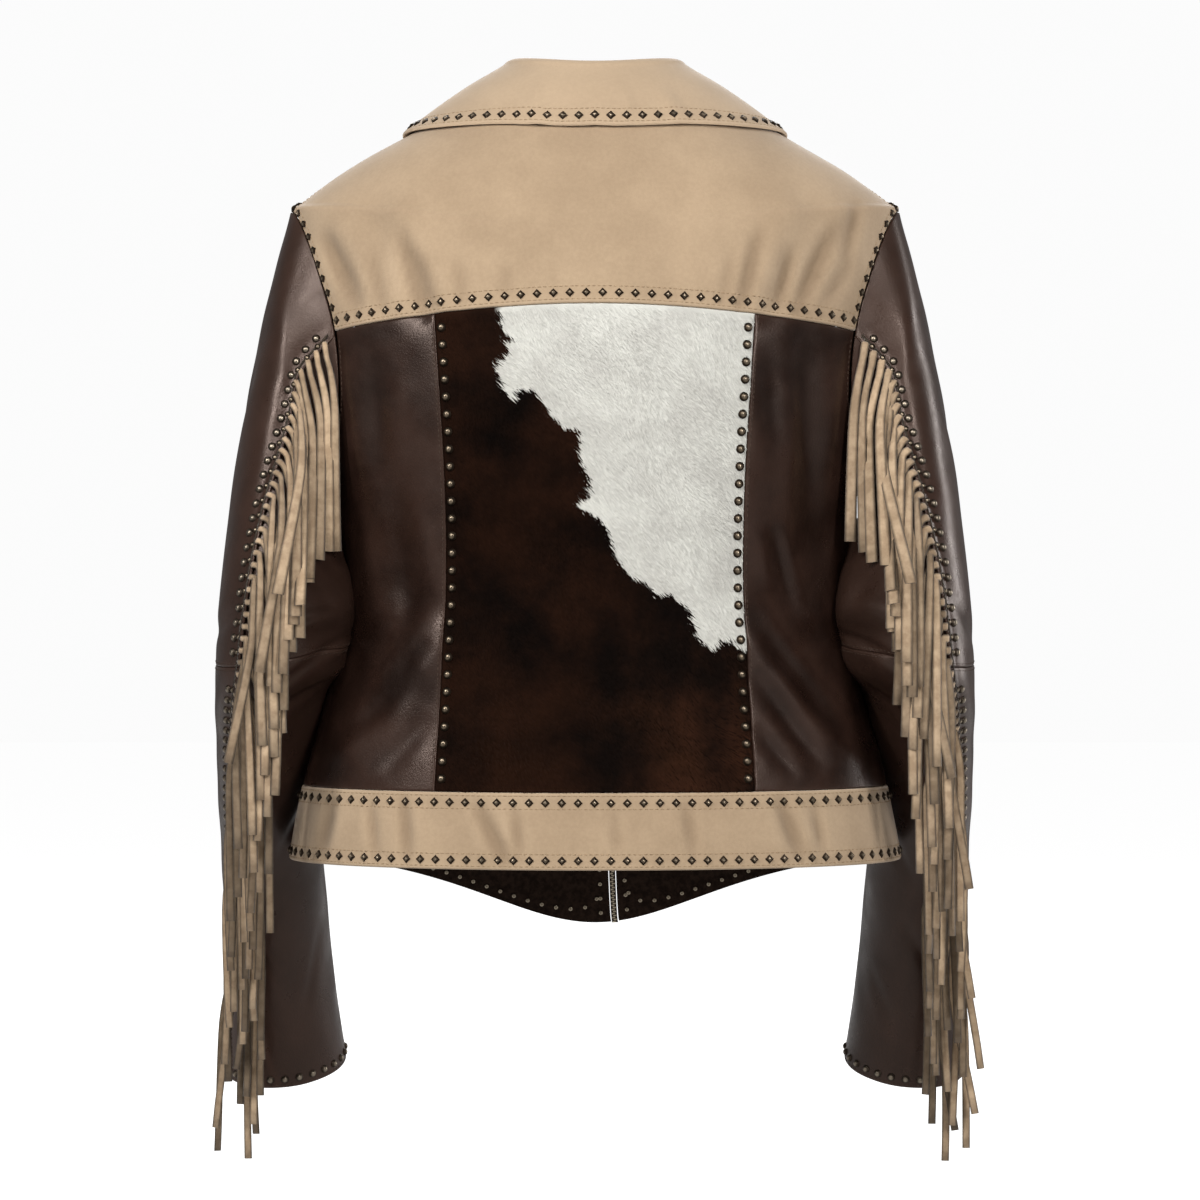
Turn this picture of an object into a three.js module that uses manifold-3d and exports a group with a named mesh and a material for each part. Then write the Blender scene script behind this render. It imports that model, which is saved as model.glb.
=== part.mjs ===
// A fringed leather jacket, filled out as it is when worn, with nobody in it. Millimetres, +Z up.
// The wearer faces -Y and has the left arm at +X. The origin lies between the shoulders, at the
// height of the neck's sides. Every cloth piece is a thin wall laid on one of three shapes: the
// body, the sleeve and the collar. A wall hangs inwards from its shape, so the shape is its face.
import * as THREE from "three";
import { mergeVertices } from "three/addons/utils/BufferGeometryUtils.js";
import Module from "manifold-3d";

const wasm = await Module();
wasm.setup();

const LEATHER = 1.4; // thickness of the brown leather and of the hair-on hide
const RAISED = 0.8; // how far the thicker tan suede stands above the brown leather
const SEAM = 0.3; // gap between two pieces that are sewn together
const DEGREE = Math.PI / 180;
const jacket = new THREE.Group();

// Colours and finishes of the pieces.
const brownLeather = new THREE.MeshStandardMaterial({ color: 0x3a2420, roughness: 0.42 });
const tanSuede = new THREE.MeshStandardMaterial({ color: 0xc4a57c, roughness: 0.9 });
const hairOnHide = new THREE.MeshStandardMaterial({ color: 0x2c1710, roughness: 0.75 });
const oldBrass = new THREE.MeshStandardMaterial({ color: 0x8a7a5c, roughness: 0.4, metalness: 0.9 });

// Smooth curve through rows that stand at the whole numbers of t. It never overshoots a row.
function between(rowAt, rowCount, t) {
  const last = rowCount - 1;
  const i = Math.min(Math.max(Math.floor(t), 0), last - 1);
  const f = t - i;
  const from = rowAt(i);
  const to = rowAt(i + 1);
  const before = i > 0 ? rowAt(i - 1) : null;
  const after = i + 2 <= last ? rowAt(i + 2) : null;
  const slope = (a, b) => (a * b > 0 ? (2 * a * b) / (a + b) : 0);
  return from.map((value, k) => {
    const rise = to[k] - value;
    const leave = before ? slope(value - before[k], rise) : rise;
    const arrive = after ? slope(rise, after[k] - to[k]) : rise;
    const bend = leave + arrive - 2 * rise;
    return value + f * (leave + f * (rise - leave - bend + f * bend));
  });
}

const inTable = (rows, t) => between((k) => rows[k], rows.length, t);
const named = (columns, values) => Object.fromEntries(columns.map((name, k) => [name, values[k]]));

// Body: rings from below the hem up to the neck, seen from above as rounded ovals.
const BODY_COLUMNS = ["halfWidth", "backDepth", "frontDepth", "sideZ", "backZ", "frontZ", "square"];
const BODY_ROWS = [
  [216, 123, 124, -600, -600, -600, 2.05], // below the hem
  [210, 121, 121, -523, -523, -523, 2.05], // hem
  [201, 116, 117, -472, -472, -472, 2.05], // top of the waistband
  [184, 109, 112, -405, -405, -405, 2.1], // below the waist
  [173.5, 107, 110, -340, -340, -340, 2.15], // waist
  [181, 112, 113, -268, -268, -268, 2.2], // underarm
  [190, 116, 112, -200, -200, -208, 2.25], // chest
  [198, 112, 107, -140, -142, -172, 2.2], // shoulder blades
  [209, 104, 99, -78, -102, -144, 2.15], // shoulder tips
  [203, 102, 97, -73.5, -96, -140, 2.15],
  [172, 94, 91, -51, -70, -123, 2.1], // outer shoulders
  [125, 81, 81, -24, -41, -103, 2.05], // inner shoulders
  [70, 58, 66, 8, -8, -80, 2], // neck seam
];
const NECK_ROW = BODY_ROWS.length - 1;
const DIP = 1.6; // how sharply a ring's height turns from its side to its back and front

const bodySection = (t) => named(BODY_COLUMNS, inTable(BODY_ROWS, t));

// A point of an oval ring: angle 0 is the middle of the back and 90 degrees the wearer's left.
function ovalPoint(s, angle) {
  const across = Math.sin(angle);
  const back = Math.cos(angle);
  const depth = back > 0 ? s.backDepth : s.frontDepth;
  const reach =
    ((Math.abs(across) / s.halfWidth) ** s.square + (Math.abs(back) / depth) ** s.square) **
    (-1 / s.square);
  const endZ = back > 0 ? s.backZ : s.frontZ;
  const z = s.sideZ + (endZ - s.sideZ) * Math.abs(back) ** DIP;
  return new THREE.Vector3(reach * across, reach * back, z);
}

const bodyPoint = (angle, t) => ovalPoint(bodySection(t), angle);

// The way out of a shape at (u, v), from the slopes of pointAt there.
function outward(pointAt, u, v, du, dv) {
  const alongU = pointAt(u + du, v).sub(pointAt(u - du, v));
  const alongV = pointAt(u, v + dv).sub(pointAt(u, v - dv));
  return alongU.cross(alongV).normalize();
}

// The body's angle where a ring is at that distance from the middle, on the back or the front.
function angleAtWidth(t, x, onFront = false) {
  const s = bodySection(t);
  const share = 1 - (Math.abs(x) / s.halfWidth) ** s.square;
  const y = (onFront ? -s.frontDepth : s.backDepth) * Math.max(share, 0) ** (1 / s.square);
  return Math.atan2(x, y) + (onFront && x < 0 ? 2 * Math.PI : 0);
}

// The row of the body at a height, where its rings are level.
function rowAtHeight(z) {
  let low = 0;
  let high = 6;
  for (let step = 0; step < 40; step++) {
    const middle = (low + high) / 2;
    if (bodySection(middle).sideZ < z) low = middle;
    else high = middle;
  }
  return low;
}

// Largest soft folds of the back, each a ridge or a trough between two points seen from behind.
// x counts from the middle towards either side, so each fold comes on both halves.
const FOLD_COLUMNS = ["x1", "z1", "x2", "z2", "width", "height"];
const BACK_FOLDS = [
  [112, -372, 168, -446, 15, 3.2], // from the centre panel's seam down to the side
  [124, -342, 160, -405, 17, -3],
  [130, -200, 138, -330, 20, -2.6], // hollow down the side back panel
  [150, -92, 118, -150, 12, -2.4], // yoke, towards its lower corners
  [128, -84, 100, -146, 12, 2],
];

function foldHeight(x, z, folds) {
  return folds.reduce((sum, row) => {
    const f = named(FOLD_COLUMNS, row);
    const dx = f.x2 - f.x1;
    const dz = f.z2 - f.z1;
    const along = ((Math.abs(x) - f.x1) * dx + (z - f.z1) * dz) / (dx * dx + dz * dz);
    const held = Math.min(Math.max(along, 0), 1);
    const away = Math.hypot(Math.abs(x) - f.x1 - held * dx, z - f.z1 - held * dz);
    return sum + f.height * Math.exp(-((away / f.width) ** 2));
  }, 0);
}

// The body's face and its way out, with the folds in it.
function bodyFace(angle, t) {
  const normal = outward(bodyPoint, angle, t, -0.004, 0.01);
  const point = bodyPoint(angle, t);
  if (point.y > 0) point.addScaledVector(normal, foldHeight(point.x, point.z, BACK_FOLDS));
  return { point, normal };
}

// A wall as one closed geometry. faceAt(i, j) gives a point and the way out there, for i from 0
// to columns and j from 0 to rows.
function wall(faceAt, columns, rows, inner, outer) {
  const across = columns + 1;
  const positions = [];
  for (const depth of [outer, inner])
    for (let j = 0; j <= rows; j++)
      for (let i = 0; i < across; i++) {
        const { point, normal } = faceAt(i, j);
        positions.push(...point.clone().addScaledVector(normal, depth).toArray());
      }
  const layer = across * (rows + 1);
  const at = (i, j, side) => side * layer + j * across + i;
  const triangles = [];
  const quad = (a, b, c, d) => triangles.push(a, b, c, a, c, d);
  for (let j = 0; j < rows; j++)
    for (let i = 0; i < columns; i++) {
      quad(at(i, j, 0), at(i + 1, j, 0), at(i + 1, j + 1, 0), at(i, j + 1, 0));
      quad(at(i, j, 1), at(i, j + 1, 1), at(i + 1, j + 1, 1), at(i + 1, j, 1));
    }
  for (let i = 0; i < columns; i++) {
    quad(at(i + 1, 0, 0), at(i, 0, 0), at(i, 0, 1), at(i + 1, 0, 1));
    quad(at(i, rows, 0), at(i + 1, rows, 0), at(i + 1, rows, 1), at(i, rows, 1));
  }
  for (let j = 0; j < rows; j++) {
    quad(at(0, j, 0), at(0, j + 1, 0), at(0, j + 1, 1), at(0, j, 1));
    quad(at(columns, j + 1, 0), at(columns, j, 0), at(columns, j, 1), at(columns, j + 1, 1));
  }
  return closed(positions, triangles);
}

// A geometry from points and triangles, turned so that its faces point out.
function closed(positions, triangles) {
  const corner = (k) => new THREE.Vector3(...positions.slice(3 * k, 3 * k + 3));
  let volume = 0;
  for (let k = 0; k < triangles.length; k += 3)
    volume += corner(triangles[k])
      .cross(corner(triangles[k + 1]))
      .dot(corner(triangles[k + 2]));
  if (volume < 0)
    for (let k = 0; k < triangles.length; k += 3)
      [triangles[k + 1], triangles[k + 2]] = [triangles[k + 2], triangles[k + 1]];
  const geometry = new THREE.BufferGeometry();
  geometry.setAttribute("position", new THREE.Float32BufferAttribute(positions, 3));
  return geometry.setIndex(triangles);
}

// The same geometry on the wearer's right side.
function mirrored(geometry) {
  const positions = [...geometry.attributes.position.array].map((v, k) => (k % 3 ? v : -v));
  return closed(positions, [...geometry.index.array]);
}

function add(name, geometry, material) {
  const mesh = new THREE.Mesh(geometry, material);
  mesh.name = name;
  jacket.add(mesh);
}

function addPair(name, geometry, material) {
  add(`${name}_left`, geometry, material);
  add(`${name}_right`, mirrored(geometry), material);
}

// A panel of the body between four borders, each a function of 0 to 1 that gives [angle, t].
// The borders meet at the corners. Seams are left open by half a seam's gap along each border.
function bodyPanel({ left, right, bottom, top }, columns, rows, outer = 0) {
  const size = (a, b) => bodyPoint(...a).distanceTo(bodyPoint(...b));
  const insetU = SEAM / 2 / size(left(0.5), right(0.5));
  const insetV = SEAM / 2 / size(bottom(0.5), top(0.5));
  const kept = (share, inset) => inset + share * (1 - 2 * inset);
  const faceAt = (i, j) => {
    const u = kept(i / columns, insetU);
    const v = kept(j / rows, insetV);
    const place = [0, 1].map(
      (k) =>
        (1 - u) * left(v)[k] + u * right(v)[k] + (1 - v) * bottom(u)[k] + v * top(u)[k] -
        ((1 - u) * ((1 - v) * bottom(0)[k] + v * top(0)[k]) +
          u * ((1 - v) * bottom(1)[k] + v * top(1)[k])),
    );
    return bodyFace(...place);
  };
  return wall(faceAt, columns, rows, -LEATHER, outer);
}

// A border through several stops, with an equal share of its length for each stretch in steps.
function through(stops) {
  const last = stops.length - 1;
  return (share) => {
    const i = Math.min(Math.floor(share * last), last - 1);
    const f = share * last - i;
    return [0, 1].map((k) => stops[i][k] * (1 - f) + stops[i + 1][k] * f);
  };
}

// Armhole: a loop on the body's side. Turn 0 is under the arm, 90 at the back, 180 on the shoulder.
const ARMHOLE = { middleRow: 6.6, halfRows: 1.46, backAngle: 18, frontAngle: 21, narrower: 0.28 };
const TURN_STEP = 15; // degrees between the points of an armhole and of a sleeve's ring
const YOKE_BACK_TURN = 90;
const YOKE_FRONT_TURN = 225;
const YOKE_ROWS = 6; // the mesh's steps from the yoke's border to the neck

function armholePlace(turn) {
  const rise = Math.cos(turn * DEGREE);
  const out = Math.sin(turn * DEGREE);
  const spread = out > 0 ? ARMHOLE.backAngle : ARMHOLE.frontAngle;
  const angle = 90 - spread * out * (1 + ARMHOLE.narrower * rise);
  return [angle * DEGREE, ARMHOLE.middleRow - ARMHOLE.halfRows * rise];
}

// Places along the armhole from one turn to another, one for each step.
function armholeStops(from, to) {
  const steps = Math.round(Math.abs(to - from) / TURN_STEP);
  return Array.from({ length: steps + 1 }, (_, k) => armholePlace(from + ((to - from) * k) / steps));
}

// Heights and widths of the cut lines on the back.
const HEM_Z = -523;
const BAND_TOP_Z = -472;
const hemRow = rowAtHeight(HEM_Z);
const bandRow = rowAtHeight(BAND_TOP_Z);
const YOKE_MIDDLE_ROW = 6.86; // the yoke's lower edge rises towards the middle of the back
const yokeCorner = armholePlace(YOKE_BACK_TURN);
const CENTRE_PANEL_WIDTHS = [[106.5], [99], [106.5]]; // half widths: at the band, waist and yoke
const SIDE = 90 * DEGREE;

function yokeEdge(angle) {
  const share = Math.min(Math.abs(angle) / yokeCorner[0], 1);
  return YOKE_MIDDLE_ROW + (yokeCorner[1] - YOKE_MIDDLE_ROW) * share ** 2;
}

// Border between the centre and side back panels, on the wearer's left.
function princessLine(share) {
  const width = inTable(CENTRE_PANEL_WIDTHS, 2 * share)[0];
  const top = yokeEdge(angleAtWidth(YOKE_MIDDLE_ROW, width));
  const t = bandRow + (top - bandRow) * share;
  return [angleAtWidth(t, width), t];
}

// Centre back: hair-on hide.
const centreColumns = 8;
const backRows = 12;
const mirroredLine = (share) => [-princessLine(share)[0], princessLine(share)[1]];
const alongYoke = (from, to) => (u) => {
  const angle = from + (to - from) * u;
  return [angle, yokeEdge(angle)];
};
const halfCentreTop = princessLine(1)[0];
const halfCentreBottom = princessLine(0)[0];
add(
  "back_centre",
  bodyPanel(
    {
      left: mirroredLine,
      right: princessLine,
      bottom: (u) => [halfCentreBottom * (2 * u - 1), bandRow],
      top: alongYoke(-halfCentreTop, halfCentreTop),
    },
    centreColumns,
    backRows,
  ),
  hairOnHide,
);

// Side backs: brown leather, from the centre panel to the side seam and the armhole.
const underarm = armholePlace(0);
const sideSeamStops = (from, count) =>
  Array.from({ length: count + 1 }, (_, k) => [SIDE, from + ((underarm[1] - from) * k) / count]);
const sideBackBorder = through([
  ...sideSeamStops(bandRow, 6).slice(0, -1),
  ...armholeStops(0, YOKE_BACK_TURN),
]);
addPair(
  "back_side",
  bodyPanel(
    {
      left: princessLine,
      right: sideBackBorder,
      bottom: (u) => [halfCentreBottom + (SIDE - halfCentreBottom) * u, bandRow],
      top: alongYoke(halfCentreTop, yokeCorner[0]),
    },
    5,
    backRows,
  ),
  brownLeather,
);

// Waistband: tan suede across the back, from side seam to side seam.
add(
  "waistband",
  bodyPanel(
    {
      left: (v) => [-SIDE, hemRow + (bandRow - hemRow) * v],
      right: (v) => [SIDE, hemRow + (bandRow - hemRow) * v],
      bottom: (u) => [SIDE * (2 * u - 1), hemRow],
      top: (u) => [SIDE * (2 * u - 1), bandRow],
    },
    24,
    2,
    RAISED,
  ),
  tanSuede,
);

// Yoke: tan suede over the upper back and both shoulders. Its outer border runs over one
// armhole, along the back and over the other armhole, and its inner border is the neck seam.
const NECK_FRONT_ANGLE = 112 * DEGREE; // where the yoke's front edges meet the neck seam
const NECK_BACK_ANGLE = 60 * DEGREE;
const yokeBackSteps = 12;
const yokeFront = (v) => [0, 1].map((k) => yokeOuter[0][k] * (1 - v) + [neckAngles[0], NECK_ROW][k] * v);
const overShoulder = armholeStops(YOKE_FRONT_TURN, YOKE_BACK_TURN);
const shoulderSteps = overShoulder.length - 1;
const acrossBack = Array.from({ length: yokeBackSteps - 1 }, (_, k) =>
  alongYoke(yokeCorner[0], -yokeCorner[0])((k + 1) / yokeBackSteps),
);
const yokeOuter = [
  ...overShoulder,
  ...acrossBack,
  ...[...overShoulder].reverse().map(([angle, t]) => [-angle, t]),
];
const neckAngles = yokeOuter.map((_, k) => {
  const fromEnd = Math.min(k, yokeOuter.length - 1 - k);
  const side = k < yokeOuter.length / 2 ? 1 : -1;
  if (fromEnd <= shoulderSteps)
    return side * (NECK_FRONT_ANGLE + ((NECK_BACK_ANGLE - NECK_FRONT_ANGLE) * fromEnd) / shoulderSteps);
  return (NECK_BACK_ANGLE * (yokeOuter.length - 1 - 2 * k)) / yokeBackSteps;
});
add(
  "yoke",
  bodyPanel(
    {
      left: yokeFront,
      right: (v) => [-yokeFront(v)[0], yokeFront(v)[1]],
      bottom: through(yokeOuter),
      top: through(neckAngles.map((angle) => [angle, NECK_ROW])),
    },
    yokeOuter.length - 1,
    YOKE_ROWS,
    RAISED,
  ),
  tanSuede,
);

// Fronts: brown leather. The hem dips to the closing, which runs from hem to neck and lies
// a little to the wearer's right at the hem.
const FRONT_DIP = 55; // how much lower the hem is at the closing than at the side seams
const CLOSING_X = -14.5; // at the hem
const ZIP_GAP = 5.4; // between the two front edges
const CLOSING_PACE = 1.75; // above 1, the mesh's rows sink from the armhole towards the closing

function frontHem(angle, halfWidth) {
  const x = halfWidth * Math.sin(angle);
  const share = Math.max(1 - Math.abs(x) / halfWidth, 0);
  return rowAtHeight(HEM_Z - FRONT_DIP * Math.sin(share * SIDE));
}

// The closing's place at a share of its height, moved sideways by half the zip's gap.
function closingPlace(share, aside) {
  const lowest = rowAtHeight(HEM_Z - FRONT_DIP);
  const t = lowest + (NECK_ROW - lowest) * share ** CLOSING_PACE;
  return [angleAtWidth(t, CLOSING_X * (1 - share) + aside, true), t];
}

function frontPanel(side) {
  const edge = (v) => {
    const [angle, t] = closingPlace(v, (side * ZIP_GAP) / 2);
    return side > 0 ? [angle, t] : [angle - 2 * Math.PI, t];
  };
  const toSide = (stops) => stops.map(([angle, t]) => [side * angle, t]);
  const seam = through(
    toSide([...sideSeamStops(hemRow, 9).slice(0, -1), ...armholeStops(0, YOKE_FRONT_TURN - 360)]),
  );
  const hemStart = edge(0);
  const neckStart = edge(1);
  const corner = armholePlace(YOKE_FRONT_TURN);
  const neckStops = 4;
  const upper = [];
  for (let k = 0; k <= neckStops; k++) {
    const f = k / neckStops;
    upper.push([neckStart[0] * (1 - f) + side * NECK_FRONT_ANGLE * f, NECK_ROW]);
  }
  for (let k = 1; k <= YOKE_ROWS; k++) {
    const f = k / YOKE_ROWS;
    upper.push([
      side * (NECK_FRONT_ANGLE * (1 - f) + corner[0] * f),
      NECK_ROW * (1 - f) + corner[1] * f,
    ]);
  }
  const hemWidth = bodySection(hemRow).halfWidth;
  const hem = (u) => {
    const angle = hemStart[0] + (side * SIDE - hemStart[0]) * u;
    return [angle, u === 0 ? hemStart[1] : frontHem(angle, hemWidth)];
  };
  return bodyPanel({ left: edge, right: seam, bottom: hem, top: through(upper) }, neckStops + YOKE_ROWS, 18);
}
add("front_left", frontPanel(1), brownLeather);
add("front_right", frontPanel(-1), brownLeather);

// Zip chain between the fronts, a strip that fills their gap.
const CHAIN_HALF_WIDTH = 2.2;
const CHAIN_TOP = 0.97; // share of the closing's height where the chain ends
const chainRows = 24;
const chain = wall(
  (i, j) => {
    const aside = CHAIN_HALF_WIDTH * (2 * i - 1);
    return bodyFace(...closingPlace(0.004 + (CHAIN_TOP - 0.004) * (j / chainRows), aside));
  },
  1,
  chainRows,
  -LEATHER,
  0.5,
);
add("zip_chain", chain, oldBrass);

// Sleeve: rings from the armhole to the cuff. The outer and inner points are seen from behind,
// and seamTurn is where its back seam runs, which holds the fringe.
const SLEEVE_COLUMNS = [
  "outerX",
  "outerZ",
  "innerX",
  "innerZ",
  "centreY",
  "halfDepth",
  "seamTurn",
  "lean", // 1 where a ring lies square to the arm, 0 where it stays level
];
const SLEEVE_ROWS = [
  [209, -78, 184, -268, 0, 62, 90, 1], // armhole
  [222, -126, 184, -283, 2, 61, 90, 1], // sleeve head
  [232.5, -176, 179.4, -300, 8, 61, 92, 1],
  [242, -232, 175.8, -318, 18, 61, 98, 1], // upper arm
  [249, -285, 171.5, -335, 31, 61, 107, 0.8],
  [254, -340, 169.5, -355, 43, 60, 116, 0.5], // elbow
  [257.5, -388, 172, -375, 38, 58, 120, 0.25], // seam across the sleeve
  [259.7, -418, 184.2, -402, 14, 55, 121, 0.4],
  [262.5, -448, 190, -432, -20, 53, 123, 0.6], // forearm
  [265, -486, 193.5, -470, -56, 52, 127, 0.8],
  [266, -530, 195.5, -516, -87, 50, 133, 1],
  [267, -582, 193, -571, -114, 48, 140, 1],
  [269, -634, 188.5, -624, -133, 45, 145, 1],
  [270.5, -687, 182, -680, -150, 43, 148, 1], // cuff
];
const SLEEVE_PROUD = 0.8; // how far a sleeve stands out of the body's leather at the armhole
const CUFF_ROW = SLEEVE_ROWS.length - 1;
const ELBOW_SEAM_ROW = 6;
const sleeveRow = (k) => named(SLEEVE_COLUMNS, SLEEVE_ROWS[Math.min(Math.max(k, 0), CUFF_ROW)]);
const sleeveSection = (t) => named(SLEEVE_COLUMNS, inTable(SLEEVE_ROWS, t));

function sleeveCentre(k) {
  const s = sleeveRow(k);
  return new THREE.Vector3((s.outerX + s.innerX) / 2, s.centreY, (s.outerZ + s.innerZ) / 2);
}

// A point of one of the sleeve's own rings: an oval that leans with the arm. Its turns are
// counted as on the armhole, which is the first ring.
function ringPoint(k, turn) {
  if (k === 0) {
    const { point, normal } = bodyFace(...armholePlace(turn / DEGREE));
    return point.addScaledVector(normal, SLEEVE_PROUD);
  }
  const s = sleeveRow(k);
  const along = sleeveCentre(k + 1).sub(sleeveCentre(k - 1)).normalize();
  const back = new THREE.Vector3(0, 1, 0).addScaledVector(along, -along.y * s.lean).normalize();
  const out = new THREE.Vector3(s.outerX - s.innerX, 0, s.outerZ - s.innerZ).multiplyScalar(0.5);
  return sleeveCentre(k)
    .addScaledVector(out, -Math.cos(turn))
    .addScaledVector(back, s.halfDepth * Math.sin(turn));
}

function sleevePoint(turn, t) {
  const rowAt = (k) => ringPoint(k, turn).toArray();
  return new THREE.Vector3(...between(rowAt, SLEEVE_ROWS.length, t));
}

// Soft folds round the elbow and the forearm.
const SLEEVE_FOLD_COLUMNS = ["t", "turn", "turnWidth", "rowWidth", "height"];
const SLEEVE_FOLDS = [
  [5.6, 40, 45, 0.35, -3],
  [6.5, 25, 40, 0.3, 2.2],
  [7.2, 15, 50, 0.35, -2.6],
  [1.6, 50, 30, 0.5, -2],
  [9.4, 60, 35, 0.6, -2],
  [10.4, 30, 35, 0.5, 2],
];

function sleeveFace(turn, t) {
  const normal = outward(sleevePoint, turn, t, 0.01, 0.01);
  const height = SLEEVE_FOLDS.reduce((sum, row) => {
    const f = named(SLEEVE_FOLD_COLUMNS, row);
    const round = ((turn / DEGREE - f.turn + 540) % 360) - 180;
    return sum + f.height * Math.exp(-((round / f.turnWidth) ** 2) - ((t - f.t) / f.rowWidth) ** 2);
  }, 0);
  return { point: sleevePoint(turn, t).addScaledVector(normal, height), normal };
}

// A sleeve is cut as a top and an under piece, each in two lengths. The under piece runs from
// the front seam to the back seam, the top piece on from there over the outer arm.
const FRONT_SEAM_TURN = -30;
const ARMHOLE_START = 0.03; // share of the first row that the sleeve stays off the armhole
const ELBOW_SEAM_SHARE = 0.006; // the same on either side of the seam across the sleeve

function sleevePiece(from, to, columns, rows, t0, t1) {
  const faceAt = (i, j) => {
    const t = t0 + ((t1 - t0) * j) / rows;
    const s = sleeveSection(t);
    const ends = [from, to].map((end) => (end === "back seam" ? s.seamTurn : end) * DEGREE);
    const inset = (0.7 * SEAM) / s.halfDepth;
    const turn = ends[0] + inset + ((ends[1] - ends[0] - 2 * inset) * i) / columns;
    return sleeveFace(turn, t);
  };
  return wall(faceAt, columns, rows, -LEATHER, 0);
}

const underColumns = (SLEEVE_ROWS[0][6] - FRONT_SEAM_TURN) / TURN_STEP;
const topColumns = 360 / TURN_STEP - underColumns;
const upperEnds = [ARMHOLE_START, ELBOW_SEAM_ROW - ELBOW_SEAM_SHARE];
const lowerEnds = [ELBOW_SEAM_ROW + ELBOW_SEAM_SHARE, CUFF_ROW];
const underPiece = (rows, ends) =>
  sleevePiece(FRONT_SEAM_TURN, "back seam", underColumns, rows, ...ends);
const topPiece = (rows, ends) =>
  sleevePiece("back seam", FRONT_SEAM_TURN + 360, topColumns, rows, ...ends);
addPair("sleeve_under_upper", underPiece(7, upperEnds), brownLeather);
addPair("sleeve_top_upper", topPiece(7, upperEnds), brownLeather);
addPair("sleeve_under_lower", underPiece(7, lowerEnds), brownLeather);
addPair("sleeve_top_lower", topPiece(7, lowerEnds), brownLeather);

// Collar: an upright stand round the neck, and a leaf that rolls over its top and lies on the
// shoulders. The rings are ovals again, from the neck seam up over the roll.
const COLLAR_RINGS = [
  [68.2, 56.2, 64, 6.5, -10, -82, 2], // stand's foot
  [62, 50.5, 59.5, 16, 4, -70.5, 2],
  [56, 45.5, 55, 22.4, 15.4, -61, 2], // stand's top
  [54.6, 44.1, 53.6, 24.4, 17.4, -57.4, 2], // leaf's start, over the stand's top
  [56.8, 46.6, 56, 27.2, 20.4, -55, 2], // top of the roll
  [60.5, 50, 59.5, 26, 18.6, -56.5, 2],
  [63.5, 53, 62.5, 23.4, 14.5, -60, 2], // outside of the roll
];
const STAND_END = 176 * DEGREE; // from the middle of the back to the front edges
const FOLD_END = 172 * DEGREE;
const LEAF_EDGE_END = 150 * DEGREE;
const LEAF_HEIGHT = 4.4; // of the leaf's face above the shoulder, at its edge
const LEAF_THICKNESS = 2;
const LEAF_BULGE = 2.4;
const LEAF_EDGE_ROWS = [[11.38], [11.26], [10.97], [10.75], [10.4]]; // body rows, back to front
const collarRing = (k, angle) => ovalPoint(named(BODY_COLUMNS, COLLAR_RINGS[k]), angle);

function leafEdge(share) {
  const angle = share * LEAF_EDGE_END;
  const t = inTable(LEAF_EDGE_ROWS, Math.abs(share) * (LEAF_EDGE_ROWS.length - 1))[0];
  const { point, normal } = bodyFace(angle, t);
  return point.addScaledVector(normal, LEAF_HEIGHT);
}

// A point of the leaf: share goes from -1 at the right front over the back to 1, and v from 0
// at the leaf's start over the roll to 6 at its edge.
function leafPoint(share, v) {
  const rolled = (k) => collarRing(k, share * FOLD_END);
  const outside = rolled(6);
  const edge = leafEdge(share);
  const lift = new THREE.Vector3(outside.x, outside.y, 60).normalize().multiplyScalar(LEAF_BULGE);
  const sections = [
    rolled(3),
    rolled(4),
    rolled(5),
    outside,
    outside.clone().lerp(edge, 1 / 3).add(lift),
    outside.clone().lerp(edge, 2 / 3).add(lift),
    edge,
  ];
  return new THREE.Vector3(...between((k) => sections[k].toArray(), sections.length, v));
}

function standPoint(share, v) {
  const rings = [0, 1, 2].map((k) => collarRing(k, share * STAND_END).toArray());
  return new THREE.Vector3(...between((k) => rings[k], rings.length, v));
}

function collarWall(pointAt, columns, rows, height, thickness) {
  const faceAt = (i, j) => {
    const place = [(2 * i) / columns - 1, (height * j) / rows];
    return { point: pointAt(...place), normal: outward(pointAt, ...place, -0.002, 0.02) };
  };
  return wall(faceAt, columns, rows, -thickness, 0);
}
add("collar_stand", collarWall(standPoint, 28, 2, 2, LEATHER), tanSuede);
const leaf = collarWall((share, v) => leafPoint(-share, v), 34, 6, 6, LEAF_THICKNESS);
add("collar_leaf", leaf, tanSuede);

// Fringe: one narrow strip along each sleeve's back seam, and strands cut from it. A strand
// leaves the strip towards the body, bends down and hangs straight, piled on the ones below.
const STRANDS = 65; // on each sleeve
const STRAND_LENGTH = 128; // hanging part
const STRAND_WIDTH = 4.4;
const STRAND_THICKNESS = 1;
const BEND_REACH = 6.5; // from the seam to where a strand bends down
const BEND_HEIGHT = 2.9; // of the bend above the sleeve
const STRAND_DROPS = [8, 40, STRAND_LENGTH]; // of a strand's sections below its bend
const SAMPLE_DROP = 4; // steps in which a strand's way down is looked at
const SURFACE_CLEARANCE = 2.6; // of a strand's middle line
const PILE_CLEARANCE = 1.9; // between two strands' middle lines
const STRIP_WIDTH = 4;
const STRIP_HEIGHTS = [1.1, 2.3]; // of its two faces above the sleeve
const FRINGE_START = 0.14; // sleeve rows
const FRINGE_END = 11.5;
const SIDEWAYS_COLUMNS = ["nearest", "farthest"]; // of a hanging strand from the seam
const SIDEWAYS_ROWS = [
  [6, 9],
  [6, 10],
  [6, 13],
  [5, 18],
  [3, 22],
  [0, 26],
  [-3, 28],
  [-4, 29],
  [-5, 29],
  [-5, 28],
  [-6, 27],
  [-7, 27],
  [-7, 27],
];

// An even spread of numbers from 0 to 1 that looks unordered, the same on every run.
const uneven = (k, seed) => Math.abs(Math.sin(12.9898 * (k + 1) + 78.233 * seed) * 43758.5453) % 1;

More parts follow.
